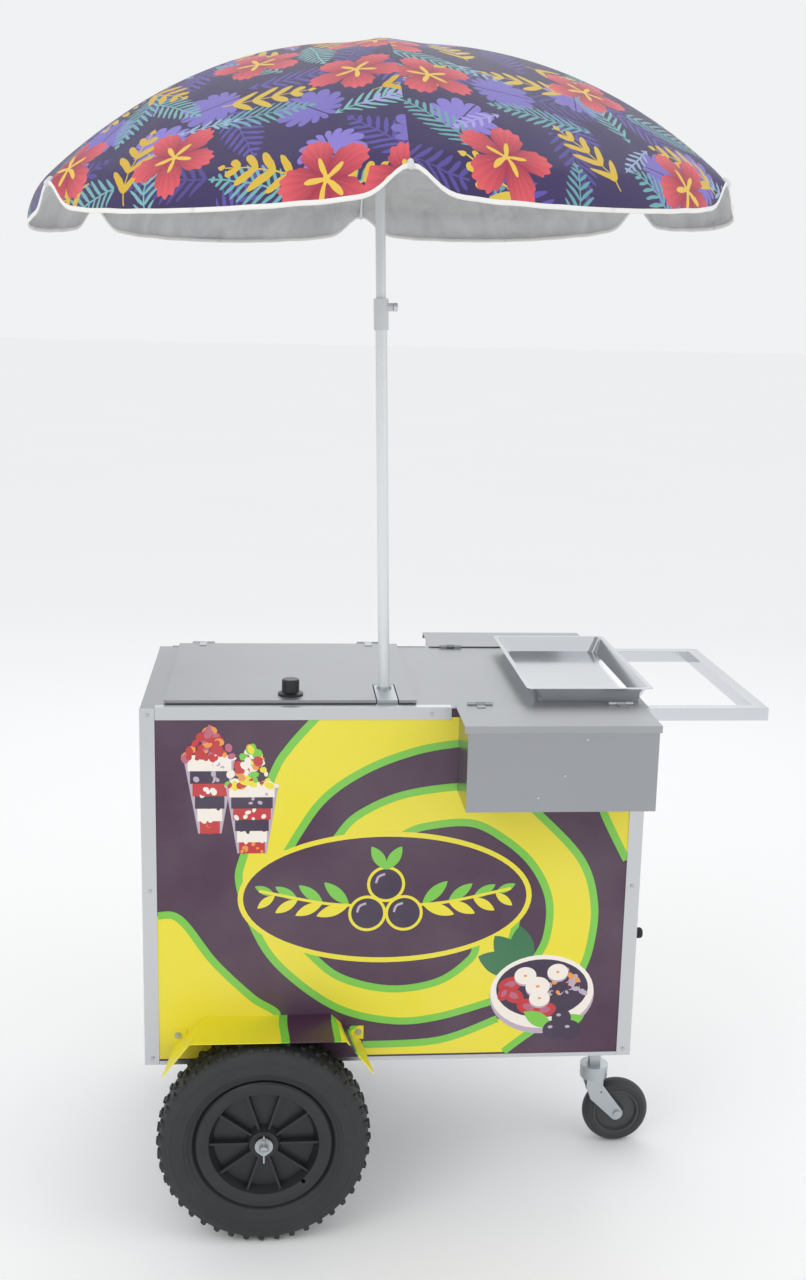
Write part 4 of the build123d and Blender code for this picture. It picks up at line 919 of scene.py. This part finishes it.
def cloth_sector(number, rib_angle):
    """A closed thin shell: printed outside, silver inside, flat cloth map, sharp rim."""
    rows, columns = DOWN + SKIRT + 1, ACROSS + 1
    offs = [SECTOR * (k / ACROSS - 0.5) for k in range(columns)]
    outer = [[cloth_point(rib_angle, off, row) for off in offs] for row in range(rows)]
    lengths = [0.0]
    for row in range(1, rows):
        lengths.append(lengths[-1] + (outer[row][0] - outer[row - 1][0]).length)
    size = rows * columns
    points = [p for row in outer + inside_of(outer) for p in row]
    faces, paints, flats = [], [], []

    def corner(row, k):
        return row * columns + k

    for row in range(rows - 1):
        for k in range(columns - 1):
            quad = [(row, k), (row + 1, k), (row + 1, k + 1), (row, k + 1)]
            middle = (offs[k] + offs[k + 1]) / 2
            for base, paint in ((0, 0), (size, 1)):
                order = quad if base == 0 else quad[::-1]
                faces.append(tuple(base + corner(*c) for c in order))
                paints.append(paint)
                for r, c in order:
                    off = math.copysign(max(abs(offs[c]), 1e-6), middle)
                    flats.append(panel_flat(number, off, lengths[r]))
    rim = [corner(0, k) for k in range(columns)] + [corner(r, columns - 1) for r in range(1, rows)]
    rim += [corner(rows - 1, k) for k in range(columns - 2, -1, -1)]
    rim += [corner(r, 0) for r in range(rows - 2, 0, -1)]
    for k, here in enumerate(rim):
        there = rim[(k + 1) % len(rim)]
        faces.append((here, there, there + size, here + size))
        paints.append(0)
        flats += [(1.0, 1.0)] * 4
    piece = new_piece(f"umbrella_cloth_{number}", points, faces, [cloth, lining], paints)
    mesh = piece.data
    layer = mesh.uv_layers.new(name="flat")
    layer.data.foreach_set("uv", [v for pair in flats for v in pair])
    edge_keys = {tuple(sorted(pair)) for pair in zip(rim, rim[1:] + rim[:1])}
    edge_keys |= {(a + size, b + size) for a, b in edge_keys}
    for edge in mesh.edges:
        if tuple(sorted(edge.vertices)) in edge_keys:
            edge.use_edge_sharp = True
    outward(piece, merge=False)
    return piece, sum(p.area for p in mesh.polygons if p.material_index == 1)


rib_angles = {}
for number in range(1, 7):
    low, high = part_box(f"rib_{number}")
    off = (low + high) / 2 - POLE_FOOT
    rib_angles[number] = math.atan2(off.dot(POLE_SIDE), off.dot(POLE_OUT))
print("ribs at", [round(math.degrees(a)) for a in rib_angles.values()])

# %% Fold the cloth with the ribs
order = sorted(rib_angles, key=lambda number: rib_angles[number])


def fold_with_rib(piece, number):
    """Ride on the rib, attached to its body."""
    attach(piece, f"rib_body_{number}")
    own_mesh(piece)


for place_round, number in enumerate(order):
    piece, area = cloth_sector(place_round, rib_angles[number])
    piece.name = f"umbrella_cloth_{number}"
    fold_with_rib(piece, number)
    if number == 1:
        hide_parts("canopy")
    print(piece.name, "area", round(area, 4))

# %% [markdown]
# ## Hem tape and rib tips
# A white woven tape is sewn round the hem and follows every rise of it. Each rib ends in a pale moulded
# cap that holds the cloth's corner. The tape is a flat band swept along the hem; caps are turned.

# %% Hem tape and rib tips
def swept_band(name, line, half_wide, half_high, material, steps=10):
    """A flat band with rounded edges swept along a line round the pole."""
    points = []
    for p in line:
        away = p - POLE_FOOT
        away = (away - POLE_UP * away.dot(POLE_UP)).normalized()
        for step in range(steps):
            angle = 2 * math.pi * step / steps
            points.append(p + away * half_wide * math.cos(angle) + POLE_UP * half_high * math.sin(angle))
    return outward(new_piece(name, points, ring_faces(len(line), steps), [material]))


TAPE_THICK, TAPE_HIGH, TAPE_STEPS = 0.0015, 0.0034, 60
CAP_LONG, CAP_WIDE, CAP_INSIDE = 0.016, 0.0046, 0.62
CAP_PROFILE = [(0.0, 0.55), (0.15, 0.9), (0.75, 1.0), (0.93, 0.75), (1.0, 0.3)]


def tip_cap(number, angle, steps=12):
    """A rounded cap over a rib's tip, turned about the rib."""
    tip = cloth_point(angle, 0.0, DOWN + SKIRT)
    outward_way = (tip - cloth_point(angle, 0.0, DOWN)).normalized()
    side_way = outward_way.cross(POLE_UP).normalized()
    top_way = side_way.cross(outward_way)
    points = []
    for along_share, wide in CAP_PROFILE:
        for step in range(steps):
            turn_angle = 2 * math.pi * step / steps
            spoke = side_way * math.cos(turn_angle) + top_way * math.sin(turn_angle)
            points.append(tip + outward_way * (along_share - CAP_INSIDE) * CAP_LONG + spoke * wide * CAP_WIDE)
    faces = ring_faces(len(CAP_PROFILE), steps)
    return outward(new_piece(f"rib_tip_cap_{number}", points, faces, [collar_plastic]))


for number, angle in rib_angles.items():
    offs = [SECTOR * (k / TAPE_STEPS - 0.5) for k in range(TAPE_STEPS + 1)]
    hem = [cloth_point(angle, off, DOWN + SKIRT) for off in offs]
    band = swept_band(f"hem_tape_{number}", hem, TAPE_THICK, TAPE_HIGH, tape)
    fold_with_rib(band, number)
    cap = tip_cap(number, angle)
    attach(cap, f"rib_body_{number}")
print("tape and caps made")

# %% [markdown]
# ## Floor and light
# A plain pale floor runs far out under an even pale sky. One large soft panel from the upper left gives the
# metal its gradients, and a weaker one fills the other side, as in a small studio.

# %% Floor and light
floor_paint, tree, shader = finish("matte_pale_floor", Roughness=0.9)
place = add(tree, COORDS).outputs["Object"]
speckle = add(tree, NOISE, {"Vector": place, "Scale": 0.6, "Detail": 3.0})
tint = add(tree, MIX, {"Fac": speckle, "Color1": linear("#fafafa"), "Color2": linear("#fdfdfd")})
feed(tree, shader, Base_Color=tint)
REACH = 60
floor_corners = [(x * REACH, y * REACH, 0) for x, y in ((-1, -1), (1, -1), (1, 1), (-1, 1))]
floor = new_piece("floor", floor_corners, [(0, 1, 2, 3)], [floor_paint])


def soft_panel(name, place, aim, size, power):
    """A square area light pointed at a place."""
    light = bpy.data.lights.new(name, "AREA")
    light.energy = power
    light.size = size
    lamp = bpy.data.objects.new(name, light)
    lamp.location = place
    lamp.rotation_euler = (Vector(aim) - Vector(place)).to_track_quat("-Z", "Y").to_euler()
    bpy.context.collection.objects.link(lamp)


soft_panel("key_light", (-2.2, -2.6, 3.2), (0, 0, 0.9), 2.2, 30)
soft_panel("fill_light", (2.8, -1.6, 2.2), (0, 0, 0.8), 2.4, 14)
soft_panel("back_light", (0.5, 3.0, 3.0), (0, 0, 1.0), 2.4, 14)
world = bpy.data.worlds.new("pale_sky")
bpy.context.scene.world = world
world.use_nodes = True
sky = world.node_tree.nodes["Background"]
sky.inputs["Color"].default_value = linear("#f4f5f6")
sky.inputs["Strength"].default_value = 0.97
bpy.context.scene.view_settings.view_transform = "Standard"
print("lights", len(bpy.data.lights))
